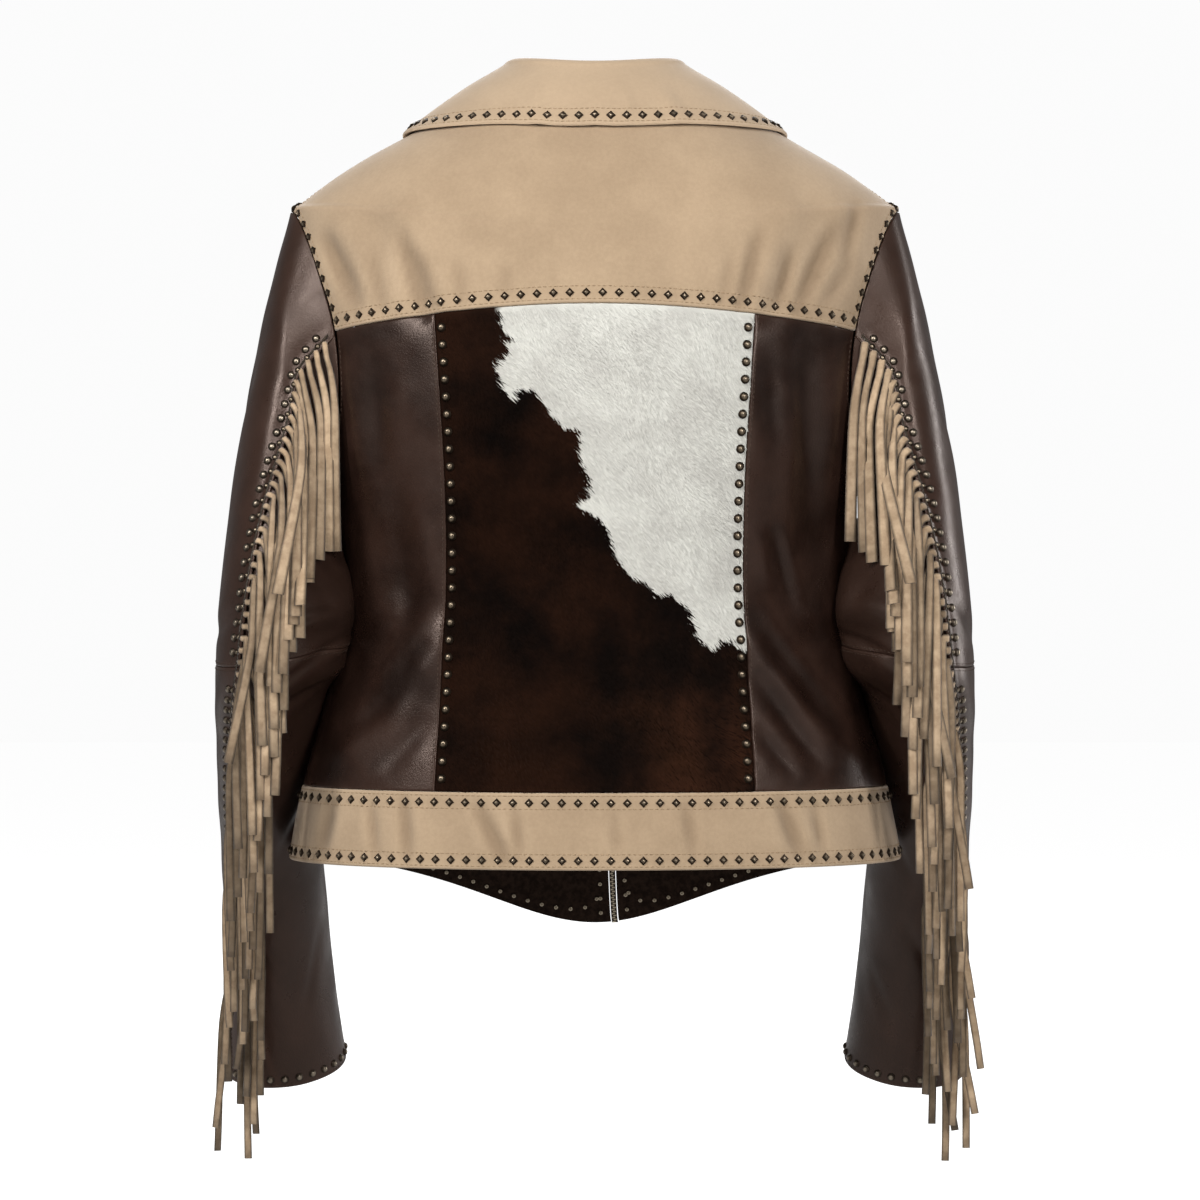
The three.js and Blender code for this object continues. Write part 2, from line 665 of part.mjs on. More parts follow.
// The sleeve's rows that divide the fringe's seam into equal lengths.
function fringeRows(count) {
  const steps = 240;
  const rows = Array.from(
    { length: steps + 1 },
    (_, k) => FRINGE_START + ((FRINGE_END - FRINGE_START) * k) / steps,
  );
  const lengths = [0];
  for (let k = 1; k <= steps; k++)
    lengths.push(lengths[k - 1] + seamPoint(rows[k]).distanceTo(seamPoint(rows[k - 1])));
  return Array.from({ length: count }, (_, n) => {
    const wanted = (lengths[steps] * (n + 0.5)) / count;
    const k = lengths.findIndex((length) => length >= wanted);
    const f = (wanted - lengths[k - 1]) / (lengths[k] - lengths[k - 1]);
    return rows[k - 1] + f * (rows[k] - rows[k - 1]);
  });
}

const seamPoint = (t) => sleevePoint(sleeveSection(t).seamTurn * DEGREE, t);

// How far back the sleeve reaches at a height, at a distance from the jacket's middle.
function sleeveBack(x, z) {
  let low = 0;
  let high = CUFF_ROW;
  let point = null;
  for (let step = 0; step < 14; step++) {
    const t = (low + high) / 2;
    const s = sleeveSection(t);
    const centre = (s.outerX + s.innerX) / 2;
    const cosine = (2 * (centre - x)) / (s.outerX - s.innerX);
    point = sleevePoint(Math.acos(Math.min(Math.max(cosine, -0.97), 0.97)), t);
    if (point.z > z) low = t;
    else high = t;
  }
  return point.y;
}

// One strand's middle line, from its root in the strip to its tip. below holds the lines of
// the strands already made, which start lower down.
function strandLine(k, t, seed, below) {
  const s = sleeveSection(t);
  const side = named(SIDEWAYS_COLUMNS, inTable(SIDEWAYS_ROWS, t));
  const root = sleeveFace(s.seamTurn * DEGREE, t);
  const turned = sleeveFace(s.seamTurn * DEGREE - BEND_REACH / s.halfDepth, t);
  const start = root.point.clone().addScaledVector(root.normal, 1.7);
  const bend = turned.point.clone().addScaledVector(turned.normal, BEND_HEIGHT);
  const across = ((k * 3) % 7) / 6;
  const hangX = root.point.x - side.nearest - across * (side.farthest - side.nearest);
  const stray = uneven(k, seed + 3) > 0.94 ? 15 : 0;
  const tipX = hangX + (uneven(k, seed) - 0.5) * 5 + stray;
  const longer = 0.95 + 0.08 * uneven(k, seed + 1);
  const drops = STRAND_DROPS.map((drop) => (drop > 20 ? drop * longer : drop));
  const xAt = (drop) => {
    const near = Math.min(drop / drops[1], 1);
    const far = Math.max(drop - drops[1], 0) / (drops[2] - drops[1]);
    return bend.x + (hangX - bend.x) * near + (tipX - hangX) * far;
  };
  const needed = [];
  for (let drop = 0; drop <= drops[2]; drop += SAMPLE_DROP) {
    const x = xAt(drop);
    const z = bend.z - drop;
    const ends = [bend.y];
    if (z > SLEEVE_ROWS[CUFF_ROW][1]) ends.push(sleeveBack(x + STRAND_WIDTH / 2, z) + SURFACE_CLEARANCE);
    for (const other of below) {
      if (z > other[1].z + 2 || z < other.at(-1).z) continue;
      const point = lineAt(other, z);
      if (Math.abs(point.x - x) < STRAND_WIDTH + 0.5) ends.push(point.y + PILE_CLEARANCE);
    }
    needed.push([drop, Math.max(...ends)]);
  }
  const stops = [0, ...drops];
  const nearby = (drop) => needed.filter(([at]) => Math.abs(at - drop) <= SAMPLE_DROP);
  const heights = stops.map((drop) => Math.max(...nearby(drop).map((row) => row[1])));
  heights[0] = bend.y;
  for (let round = 0; round < 4; round++)
    for (const [drop, y] of needed) {
      const i = Math.max(stops.findIndex((stop) => stop >= drop), 1);
      const f = (drop - stops[i - 1]) / (stops[i] - stops[i - 1]);
      const short = y - heights[i - 1] * (1 - f) - heights[i] * f;
      if (short <= 0) continue;
      heights[i] += short;
      if (i > 1) heights[i - 1] += short * (1 - f);
    }
  const hanging = stops.map((drop, i) => new THREE.Vector3(xAt(drop), heights[i], bend.z - drop));
  return [start, ...hanging];
}

// The point of a strand's line at a height.
function lineAt(line, z) {
  const i = Math.max(line.findIndex((point) => point.z <= z), 1);
  const f = (line[i - 1].z - z) / (line[i - 1].z - line[i].z);
  return line[i - 1].clone().lerp(line[i], Math.min(Math.max(f, 0), 1));
}

// A strand as a closed four-sided strip along its line. Near its root it lies flat on the
// sleeve, lower down it turns a little about its own length.
function strandSolid(line, rootNormal, twist) {
  const positions = [];
  line.forEach((point, i) => {
    const from = line[Math.max(i - 1, 0)];
    const to = line[Math.min(i + 1, line.length - 1)];
    const along = to.clone().sub(from).normalize();
    const facing = i < 2 ? rootNormal : new THREE.Vector3(Math.sin(twist), Math.cos(twist), 0);
    const across = along.clone().cross(facing).normalize();
    const out = across.clone().cross(along);
    for (const [a, b] of [
      [-1, -1],
      [1, -1],
      [1, 1],
      [-1, 1],
    ]) {
      const corner = point.clone().addScaledVector(across, (a * STRAND_WIDTH) / 2);
      positions.push(...corner.addScaledVector(out, (b * STRAND_THICKNESS) / 2).toArray());
    }
  });
  const end = 4 * (line.length - 1);
  const triangles = [0, 2, 1, 0, 3, 2, end, end + 1, end + 2, end, end + 2, end + 3];
  for (let i = 0; i < end; i += 4)
    for (let c = 0; c < 4; c++) {
      const a = i + c;
      const b = i + ((c + 1) % 4);
      triangles.push(a, b, b + 4, a, b + 4, a + 4);
    }
  return solid(closed(positions, triangles));
}

// A closed geometry as a solid that can be joined and cut.
function solid(geometry) {
  const bare = geometry.clone();
  bare.deleteAttribute("normal");
  bare.deleteAttribute("uv");
  const merged = mergeVertices(bare);
  const vertProperties = Float32Array.from(merged.attributes.position.array);
  const triVerts = Uint32Array.from(merged.index.array);
  return new wasm.Manifold(new wasm.Mesh({ numProp: 3, vertProperties, triVerts }));
}

function fringe(seed) {
  const stripRows = 30;
  const strip = wall(
    (i, j) => {
      const t = FRINGE_START + ((FRINGE_END - FRINGE_START) * j) / stripRows;
      const s = sleeveSection(t);
      return sleeveFace(s.seamTurn * DEGREE + ((i - 0.5) * STRIP_WIDTH) / s.halfDepth, t);
    },
    1,
    stripRows,
    ...STRIP_HEIGHTS,
  );
  const rows = fringeRows(STRANDS);
  const lines = [];
  const solids = [solid(strip)];
  for (let k = STRANDS - 1; k >= 0; k--) {
    const line = strandLine(k, rows[k], seed, lines);
    const normal = sleeveFace(sleeveSection(rows[k]).seamTurn * DEGREE, rows[k]).normal;
    lines.push(line);
    solids.push(strandSolid(line, normal, (uneven(k, seed + 5) - 0.5) * 0.4));
  }
  const mesh = wasm.Manifold.union(solids).getMesh();
  return closed([...mesh.vertProperties], [...mesh.triVerts]);
}
add("fringe_left", fringe(1), tanSuede);
add("fringe_right", mirrored(fringe(8)), tanSuede);

// Slider of the closed zip, with a bar across its front that the pull tab hangs from.
const SLIDER = { share: 0.9, width: 8.5, length: 13, from: 0.9, to: 4.3 };
const BAR = { radius: 0.9, width: 5.2, height: 7.4, post: 1.4 };
const TAB = { width: 6.4, length: 27, thickness: 1.6, eyeRadius: 2.6, eyeHole: 1 };

// The slider's own axes: x to the wearer's left, y up along the closing, z out of the jacket.
function sliderFrame() {
  const place = closingPlace(SLIDER.share, 0);
  const { point, normal } = bodyFace(...place);
  const above = bodyFace(...closingPlace(SLIDER.share + 0.01, 0)).point;
  const up = above.sub(point).normalize();
  const side = up.clone().cross(normal).normalize();
  return new THREE.Matrix4().makeBasis(side, up, normal).setPosition(point);
}

function box(width, length, height, x, y, z) {
  return solid(new THREE.BoxGeometry(width, length, height).translate(x, y, z));
}

// A round bar across the slider, from side to side.
function bar(radius, width, z) {
  const upright = new THREE.CylinderGeometry(radius, radius, width, 16);
  return solid(upright.rotateZ(90 * DEGREE).translate(0, 0, z));
}

function placed(manifold, matrix) {
  const mesh = manifold.getMesh();
  const geometry = closed([...mesh.vertProperties], [...mesh.triVerts]);
  return geometry.applyMatrix4(matrix);
}

const frame = sliderFrame();
const sliderMiddle = (SLIDER.from + SLIDER.to) / 2;
const postX = BAR.width / 2 + BAR.post / 2 - 0.1;
const postHeight = BAR.height + BAR.radius - SLIDER.to + 0.2;
const posts = [-1, 1].map((side) =>
  box(BAR.post, 3, postHeight, side * postX, 0, SLIDER.to - 0.2 + postHeight / 2),
);
const slider = wasm.Manifold.union([
  box(SLIDER.width, SLIDER.length, SLIDER.to - SLIDER.from, 0, 0, sliderMiddle),
  ...posts,
  bar(BAR.radius, 2 * postX, BAR.height),
]);
add("zip_slider", placed(slider, frame), oldBrass);

const tabReach = TAB.length - TAB.eyeRadius;
const tabBody = wasm.Manifold.union([
  box(TAB.width * 0.62, tabReach, TAB.thickness, 0, -tabReach / 2 - TAB.eyeHole - 0.4, BAR.height),
  box(TAB.width, tabReach * 0.5, TAB.thickness, 0, -tabReach * 0.75 - TAB.eyeHole - 0.4, BAR.height),
  bar(TAB.eyeRadius, BAR.width - 1.2, BAR.height),
]).subtract(bar(TAB.eyeHole, 3 * TAB.width, BAR.height));
add("zip_pull", placed(tabBody, frame), oldBrass);

export default jacket;
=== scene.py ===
"""A short fringed leather jacket with a suede yoke, filled out as when worn, seen from behind.

Tables and formulas are in millimetres, as in the solids, and meshes in metres. +Z is up, the
wearer faces -Y and the wearer's left is +X.
"""

import math

import bpy
import numpy as np
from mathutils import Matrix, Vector


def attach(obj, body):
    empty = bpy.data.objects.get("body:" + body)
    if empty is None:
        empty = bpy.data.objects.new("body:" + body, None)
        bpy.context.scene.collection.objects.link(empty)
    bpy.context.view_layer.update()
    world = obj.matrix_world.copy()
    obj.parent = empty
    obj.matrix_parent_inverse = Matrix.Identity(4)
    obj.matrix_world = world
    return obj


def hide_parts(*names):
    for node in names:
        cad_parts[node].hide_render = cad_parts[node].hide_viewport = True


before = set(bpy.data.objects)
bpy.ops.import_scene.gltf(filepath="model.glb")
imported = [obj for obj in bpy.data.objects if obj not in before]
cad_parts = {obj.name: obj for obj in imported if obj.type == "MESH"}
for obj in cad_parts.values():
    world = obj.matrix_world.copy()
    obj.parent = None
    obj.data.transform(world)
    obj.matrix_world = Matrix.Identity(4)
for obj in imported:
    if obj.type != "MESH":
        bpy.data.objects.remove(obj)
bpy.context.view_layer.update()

# Camera: straight behind the jacket, at the height of its waist.
# It stands far enough off to flatten the jacket a little, as in the photo.
CAMERA_DISTANCE = 2.55
CAMERA_X = -0.00345
CAMERA_Z = -0.345
SENSOR_WIDTH = 36
PICTURE_WIDTH = 0.828  # of the plane through the jacket's middle that fills the picture
camera_data = bpy.data.cameras.new("camera")
camera_data.sensor_width = SENSOR_WIDTH
camera_data.lens = SENSOR_WIDTH * CAMERA_DISTANCE / PICTURE_WIDTH
camera = bpy.data.objects.new("camera", camera_data)
camera.location = (CAMERA_X, CAMERA_DISTANCE, CAMERA_Z)
camera.rotation_euler = (math.radians(90), 0, math.radians(180))
bpy.context.scene.collection.objects.link(camera)
bpy.context.scene.camera = camera

# Centre back: one panel of hair-on cowhide, dark brown with a white patch.
# The hide is cut between the two long back seams, the yoke and the waistband. Its short hair
# lies downwards and towards the wearer's right.
MM = 0.001
DEGREE = math.pi / 180
LEATHER = 1.4  # thickness of the brown leather and of the hide
SEAM = 0.12  # gap between two pieces that are sewn together
SEAM_ROLL = 1.3  # radius of a piece's edge where it turns down into a seam
STEP = 2.6  # size of the grid's squares
EDGE_STOPS = np.array([0.15, 0.4, 0.75, 1.2])  # closer lines at an edge, for its rounding
EDGE_WIDTH = 1.9  # from an edge to the first even line
WEAR_WIDTH = 2.4  # how far an edge's wear reaches inwards
BODY_SLOPE = (-0.004, 0.01)  # small steps in angle and row, signed so that the way is outwards
BODY_ROWS = [  # half width, back depth, front depth, side z, back z, front z, squareness
    [216, 123, 124, -600, -600, -600, 2.05],  # below the hem
    [210, 121, 121, -523, -523, -523, 2.05],  # hem
    [201, 116, 117, -472, -472, -472, 2.05],  # top of the waistband
    [184, 109, 112, -405, -405, -405, 2.1],
    [173.5, 107, 110, -340, -340, -340, 2.15],  # waist
    [181, 112, 113, -268, -268, -268, 2.2],  # underarm
    [190, 116, 112, -200, -200, -208, 2.25],  # chest
    [198, 112, 107, -140, -142, -172, 2.2],  # shoulder blades
    [209, 104, 99, -78, -102, -144, 2.15],  # shoulder tips
    [203, 102, 97, -73.5, -96, -140, 2.15],
    [172, 94, 91, -51, -70, -123, 2.1],
    [125, 81, 81, -24, -41, -103, 2.05],
    [70, 58, 66, 8, -8, -80, 2],  # neck seam
]
NECK_ROW = len(BODY_ROWS) - 1
DIP = 1.6  # how sharply a ring's height turns from its side to its back and front
SIDE = 90 * DEGREE
HEM_Z = -523
BAND_TOP_Z = -472
YOKE_MIDDLE_ROW = 6.86
CENTRE_HALF_WIDTHS = [[106.5], [99], [106.5]]  # at the waistband, the waist and the yoke
BACK_FOLDS = [  # x and z of both ends, width and height; x counts from the middle to both sides
    [112, -372, 168, -446, 15, 3.2],
    [124, -342, 160, -405, 17, -3],
    [130, -200, 138, -330, 20, -2.6],
    [150, -92, 118, -150, 12, -2.4],
    [128, -84, 100, -146, 12, 2],
]


def between(rows, t):
    """A table's values at the row number t, for rows of shape (rows, places, values).

    Between two rows runs a cubic whose slope at a row is the harmonic mean of the rises on its
    two sides, or level where they change sign, so that it never overshoots a row.
    """
    last = len(rows) - 1
    low = np.clip(np.floor(t).astype(int), 0, last - 1)
    f = (t - low)[:, None]

    def row(k):
        return np.take_along_axis(rows, np.clip(k, 0, last)[None, :, None], 0)[0]

    def slope(a, b):
        agree = a * b > 0
        return np.where(agree, 2 * a * b / np.where(agree, a + b, 1), 0)

    start = row(low)
    rise = row(low + 1) - start
    leave = np.where((low > 0)[:, None], slope(start - row(low - 1), rise), rise)
    arrive = np.where((low + 2 <= last)[:, None], slope(rise, row(low + 2) - row(low + 1)), rise)
    bend = leave + arrive - 2 * rise
    return start + f * (leave + f * (rise - leave - bend + f * bend))


def in_table(rows, t):
    """The same for a plain table, one row of values for each t."""
    return between(np.array(rows, float)[:, None, :], np.atleast_1d(np.asarray(t, float)).ravel())


def oval(section, angle):
    """A ring's points: a superellipse seen from above, its height turning from side to end.

    Angle 0 is the middle of the back and 90 degrees the wearer's left.
    """
    half_width, back_depth, front_depth, side_z, back_z, front_z, square = section.T
    across, back = np.sin(angle), np.cos(angle)
    depth = np.where(back > 0, back_depth, front_depth)
    reach = (
        (abs(across) / half_width) ** square + (abs(back) / depth) ** square
    ) ** (-1 / square)
    z = side_z + (np.where(back > 0, back_z, front_z) - side_z) * abs(back) ** DIP
    return np.stack([reach * across, reach * back, z], -1)


def body_point(angle, t):
    """The body's points at an angle and a row: the table's ovals, blended between rows."""
    angle, t = np.broadcast_arrays(np.asarray(angle, float), np.asarray(t, float))
    return oval(in_table(BODY_ROWS, t), angle.ravel()).reshape(angle.shape + (3,))


def unit(ways):
    """Ways scaled to a length of 1."""
    return ways / np.linalg.norm(ways, axis=-1, keepdims=True)


def outward(point_at, u, v, du, dv):
    """The way out of a surface: the cross product of its slopes along u and v."""
    along_u = point_at(u + du, v) - point_at(u - du, v)
    along_v = point_at(u, v + dv) - point_at(u, v - dv)
    return unit(np.cross(along_u, along_v))


def off_line(a, b, a1, b1, a2, b2):
    """The distance from places to the line between two ends."""
    da, db = a2 - a1, b2 - b1
    along = np.clip(((a - a1) * da + (b - b1) * db) / (da * da + db * db), 0, 1)
    return np.hypot(a - a1 - along * da, b - b1 - along * db)


def bells(a, b, folds):
    """Soft ridges and troughs: a bell of the distance to the line between two places."""
    total = np.zeros_like(a)
    for *ends, width, height in folds:
        total += height * np.exp(-((off_line(a, b, *ends) / width) ** 2))
    return total


def creases(a, b, rows):
    """Sharper creases: a trough with a lower ridge on either side, that fades at both ends.

    Each row holds both ends, the width, and the height, which is negative for a trough.
    """
    total = np.zeros_like(a)
    for a1, b1, a2, b2, width, height in rows:
        da, db = a2 - a1, b2 - b1
        along = ((a - a1) * da + (b - b1) * db) / (da * da + db * db)
        q = (((a - a1) * db - (b - b1) * da) / np.hypot(da, db) / width) ** 2
        fade = np.clip(4 * (along + 0.12) * (1.12 - along) / 1.54, 0, 1) ** 1.2
        total += height * fade * (1 - 0.9 * q) * np.exp(-q)
    return total


def ripple(a, b, size, seed):
    """Slow unevenness from -1 to 1: a mean of sine waves of about that size, in mixed directions."""
    pick = np.random.default_rng(seed)
    total = np.zeros_like(a)
    for _ in range(7):
        way, phase = pick.uniform(0, 2 * math.pi, 2)
        length = size * pick.uniform(0.6, 1.6)
        total += np.sin((a * np.cos(way) + b * np.sin(way)) * 2 * math.pi / length + phase)
    return total / 7 * 1.6


def body_face(angle, t, detail=None):
    """The body's points and ways out, with its folds, and a piece's own detail height."""
    angle, t = np.broadcast_arrays(angle, t)
    way = outward(body_point, angle, t, *BODY_SLOPE)
    point = body_point(angle, t)
    x, z = point[..., 0], point[..., 2]
    height = np.where(point[..., 1] > 0, bells(abs(x), z, BACK_FOLDS), 0)
    if detail:
        height = height + detail(x, z)
    return point + way * height[..., None], way


def angle_at_width(t, x, on_front=False):
    """The body's angle where its ring is x from the middle, from the superellipse's equation."""
    t, x = np.broadcast_arrays(np.asarray(t, float), np.asarray(x, float))
    section = in_table(BODY_ROWS, t)
    half_width, back_depth, front_depth, square = section[:, [0, 1, 2, 6]].T
    flat_x = x.ravel()
    share = np.clip(1 - (abs(flat_x) / half_width) ** square, 0, None) ** (1 / square)
    y = -front_depth * share if on_front else back_depth * share
    angle = np.arctan2(flat_x, y) + np.where(on_front & (flat_x < 0), 2 * math.pi, 0)
    return angle.reshape(t.shape)


def row_at_height(z):
    """The body's row at a height where its rings are level, found by halving."""
    low, high = np.zeros_like(z, dtype=float), np.full_like(z, 6.0, dtype=float)
    for _ in range(40):
        middle = (low + high) / 2
        below = in_table(BODY_ROWS, middle)[:, 3].reshape(middle.shape) < z
        low, high = np.where(below, middle, low), np.where(below, high, middle)
    return low


HEM_ROW = float(row_at_height(np.array(HEM_Z)))
BAND_ROW = float(row_at_height(np.array(BAND_TOP_Z)))
ARMHOLE_MIDDLE_ROW = 6.6
ARMHOLE_HALF_ROWS = 1.46
ARMHOLE_BACK_ANGLE = 18
ARMHOLE_FRONT_ANGLE = 21
ARMHOLE_NARROWER = 0.28  # at its foot than at the shoulder


def armhole(turn):
    """The armhole's places on the body: turn 0 is under the arm, 90 at the back, 180 on top."""
    rise, out = np.cos(turn * DEGREE), np.sin(turn * DEGREE)
    spread = np.where(out > 0, ARMHOLE_BACK_ANGLE, ARMHOLE_FRONT_ANGLE)
    angle = 90 - spread * out * (1 + ARMHOLE_NARROWER * rise)
    return np.stack([angle * DEGREE, ARMHOLE_MIDDLE_ROW - ARMHOLE_HALF_ROWS * rise], -1)


YOKE_BACK_TURN = 90
YOKE_CORNER = armhole(np.array(YOKE_BACK_TURN))
UNDERARM_ROW = ARMHOLE_MIDDLE_ROW - ARMHOLE_HALF_ROWS


def yoke_edge(angle):
    """The yoke's lower edge, a parabola that rises towards the middle of the back."""
    share = np.clip(abs(angle) / YOKE_CORNER[0], 0, 1)
    return np.stack(
        [angle, YOKE_MIDDLE_ROW + (YOKE_CORNER[1] - YOKE_MIDDLE_ROW) * share**2], -1
    )


def long_seam(share):
    """The seam between the centre and side back, on the wearer's left, from band to yoke."""
    width = in_table(CENTRE_HALF_WIDTHS, 2 * share)[:, 0].reshape(np.shape(share))
    top = yoke_edge(angle_at_width(YOKE_MIDDLE_ROW, width))[..., 1]
    t = BAND_ROW + (top - BAND_ROW) * share
    return np.stack([angle_at_width(t, width), t], -1)


def straight(start, end):
    """A straight border between two places, each an angle and a row."""
    start, end = np.array(start, float), np.array(end, float)
    return lambda share: start + (end - start) * np.asarray(share)[..., None]


def panel(left, right, bottom, top, detail):
    """A piece between four borders, each a function of 0 to 1 that gives places on the body.

    It is a Coons patch: the blend of the left and right borders plus that of the bottom and
    top, less the blend of the four corners. Half a seam is left open along each border.
    """
    one, half = np.array(1.0), np.array(0.5)

    def apart(a, b):
        return np.linalg.norm(body_point(*a) - body_point(*b))

    inset_u = SEAM / 2 / apart(left(half), right(half))
    inset_v = SEAM / 2 / apart(bottom(half), top(half))
    corners = [edge(end) for edge in (bottom, top) for end in (0 * one, one)]

    def face(u, v):
        u = inset_u + u * (1 - 2 * inset_u)
        v = inset_v + v * (1 - 2 * inset_v)
        a, b = u[..., None], v[..., None]
        place = (1 - a) * left(v) + a * right(v) + (1 - b) * bottom(u) + b * top(u)
        place = place - (1 - b) * ((1 - a) * corners[0] + a * corners[1])
        place = place - b * ((1 - a) * corners[2] + a * corners[3])
        return body_face(place[..., 0], place[..., 1], detail)

    return face


def run_lengths(points, axis):
    """Lengths along a grid's lines from their start, in mm."""
    steps = np.linalg.norm(np.diff(points, axis=axis), axis=-1)
    return np.insert(np.cumsum(steps, axis), 0, 0, axis)


def shares(length, step):
    """Shares from 0 to 1 at an even step, with a few more near both ends for a rounded edge."""
    near, margin = EDGE_STOPS / length, EDGE_WIDTH / length
    even = np.linspace(margin, 1 - margin, max(int(length / step), 3))
    return np.concatenate([[0], near, even, 1 - near[::-1], [1]])


def grid_of(face, step=STEP):
    """A face's grid: shares at that step, its points and ways out, and distance to the edge."""
    u, v = np.meshgrid(np.linspace(0, 1, 9), np.linspace(0, 1, 9))
    rough = face(u, v)[0]
    width = run_lengths(rough, 1)[:, -1].max()
    height = run_lengths(rough, 0)[-1].max()
    u, v = np.meshgrid(shares(width, step), shares(height, step))
    points, ways = face(u, v)
    across, up = run_lengths(points, 1), run_lengths(points, 0)
    edge = np.minimum.reduce([across, across[:, -1:] - across, up, up[-1:] - up])
    return points, ways, edge


def rounded(edge, radius):
    """How far a surface has sunk at a distance from its edge: a quarter circle."""
    return radius * (1 - np.sqrt(1 - np.clip(1 - edge / radius, 0, 1) ** 2))


def mesh_of(name, points, faces, smooth=True):
    """A mesh object from an array of points in mm and a list of faces."""
    mesh = bpy.data.meshes.new(name)
    mesh.from_pydata((points * MM).tolist(), [], faces)
    mesh.polygons.foreach_set("use_smooth", np.full(len(mesh.polygons), smooth))
    mesh.update()
    thing = bpy.data.objects.new(name, mesh)
    bpy.context.scene.collection.objects.link(thing)
    return thing


def attribute(thing, name, values):
    """Values at a mesh's points, for its material."""
    layer = thing.data.attributes.new(name, "FLOAT", "POINT")
    layer.data.foreach_set("value", np.asarray(values, np.float32).ravel())


def quads(rows, columns, first=0):
    """The faces of a grid of points, row by row."""
    j, i = np.meshgrid(np.arange(rows - 1), np.arange(columns - 1), indexing="ij")
    a = (first + j * columns + i).ravel()
    return np.stack([a, a + 1, a + 1 + columns, a + columns], -1)


def facing_out(points, faces):
    """A closed mesh's quads, turned round where they enclose a negative volume.

    The volume is the sum over half faces of the pyramids that they make with the origin.
    """
    p = points[faces]
    volume = sum(
        np.einsum("ij,ij->i", p[:, 0], np.cross(p[:, k], p[:, k + 1])).sum() for k in (1, 2)
    )
    return faces[:, ::-1] if volume < 0 else faces


def shell(name, grid, outer, inner, finish, back=None, roll=SEAM_ROLL, inner_roll=0.01):
    """A closed wall: the grid moved out and in, its edges rounded, and a rim joining the two.

    finish is its material, and back the one of its inner face if that differs.
    """
    points, ways, edge = grid
    rows, columns = edge.shape
    top = points + ways * (outer - rounded(edge, roll))[..., None]
    under = points + ways * (inner + rounded(edge, inner_roll))[..., None]
    layer = rows * columns
    face = quads(rows, columns)
    ring = np.concatenate([
        np.arange(columns),
        np.arange(1, rows) * columns + columns - 1,
        layer - 2 - np.arange(columns - 1),
        np.arange(rows - 2, 0, -1) * columns,
    ])
    after = np.roll(ring, -1)
    rim = np.stack([after, ring, ring + layer, after + layer], -1)
    faces = np.concatenate([face, face[:, ::-1] + layer, rim])
    everything = np.concatenate([top.reshape(-1, 3), under.reshape(-1, 3)])
    thing = mesh_of(name, everything, facing_out(everything, faces).tolist())
    attribute(thing, "edge", np.tile(np.exp(-edge.ravel() / WEAR_WIDTH), 2))
    thing.data.materials.append(finish)
    if back:
        thing.data.materials.append(back)
        within = (np.arange(len(faces)) // len(face)) == 1
        thing.data.polygons.foreach_set("material_index", within.astype(np.int32))
    return thing


def cut_size(grid):
    """A piece's flat cut in metres: its widest row, its longest column and its area."""
    points = grid[0]
    width = run_lengths(points, 1)[:, -1].max() * MM
    length = run_lengths(points, 0)[-1].max() * MM
    a, b = points[1:, 1:] - points[:-1, :-1], points[1:, :-1] - points[:-1, 1:]
    area = np.linalg.norm(np.cross(a, b), axis=-1).sum() / 2 * MM * MM
    return (width, length), min(area, width * length)


def on_jacket(thing, slot, *nodes):
    """Something fixed on the jacket, in place of any solids that it stands for."""
    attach(thing, "jacket")
    if nodes:
        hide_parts(*nodes)


def sewn_piece(thing, node, slot, grid):
    """A cut piece of the jacket: it stands for its solid; its flat cut is worked out but not used.
    """
    on_jacket(thing, slot, node)
    flat, area = cut_size(grid)


def feed(tree, socket, value):
    """Gives an input another node's socket or a value of its own."""
    if isinstance(value, bpy.types.NodeSocket):
        tree.links.new(value, socket)
    else:
        socket.default_value = value


def put(tree, kind, inputs=None, **settings):
    """A node with its settings and its inputs."""
    made = tree.nodes.new(kind)
    for name, value in settings.items():
        setattr(made, name, value)
    for name, value in (inputs or {}).items():
        feed(tree, made.inputs[name], value)
    return made


def ranged(tree, value, before=(0.0, 1.0), after=(0.0, 1.0), **settings):
    """A value moved from the range before to the range after, and kept inside it."""
    return put(tree, "ShaderNodeMapRange", {
        "Value": value, "From Min": before[0], "From Max": before[1],
        "To Min": after[0], "To Max": after[1],
    }, **settings).outputs["Result"]


def new_group(name, inputs, outputs):
    """A node group with those sockets, each a name, a type and a first value."""
    tree = bpy.data.node_groups.new(name, "ShaderNodeTree")
    for label, kind, value in inputs:
        made = tree.interface.new_socket(label, in_out="INPUT", socket_type=kind)
        if value is not None:
            made.default_value = value
    for label, kind in outputs:
        tree.interface.new_socket(label, in_out="OUTPUT", socket_type=kind)
    return tree, tree.nodes.new("NodeGroupInput").outputs, tree.nodes.new("NodeGroupOutput")


def mixed(tree, mask, dark, light, how="MIX"):
    """A colour between two, by a mask; each is a value or a socket."""
    made = put(tree, "ShaderNodeMix", data_type="RGBA", blend_type=how)
    for place, value in ((0, mask), (6, dark), (7, light)):
        feed(tree, made.inputs[place], value)
    return made.outputs[2]


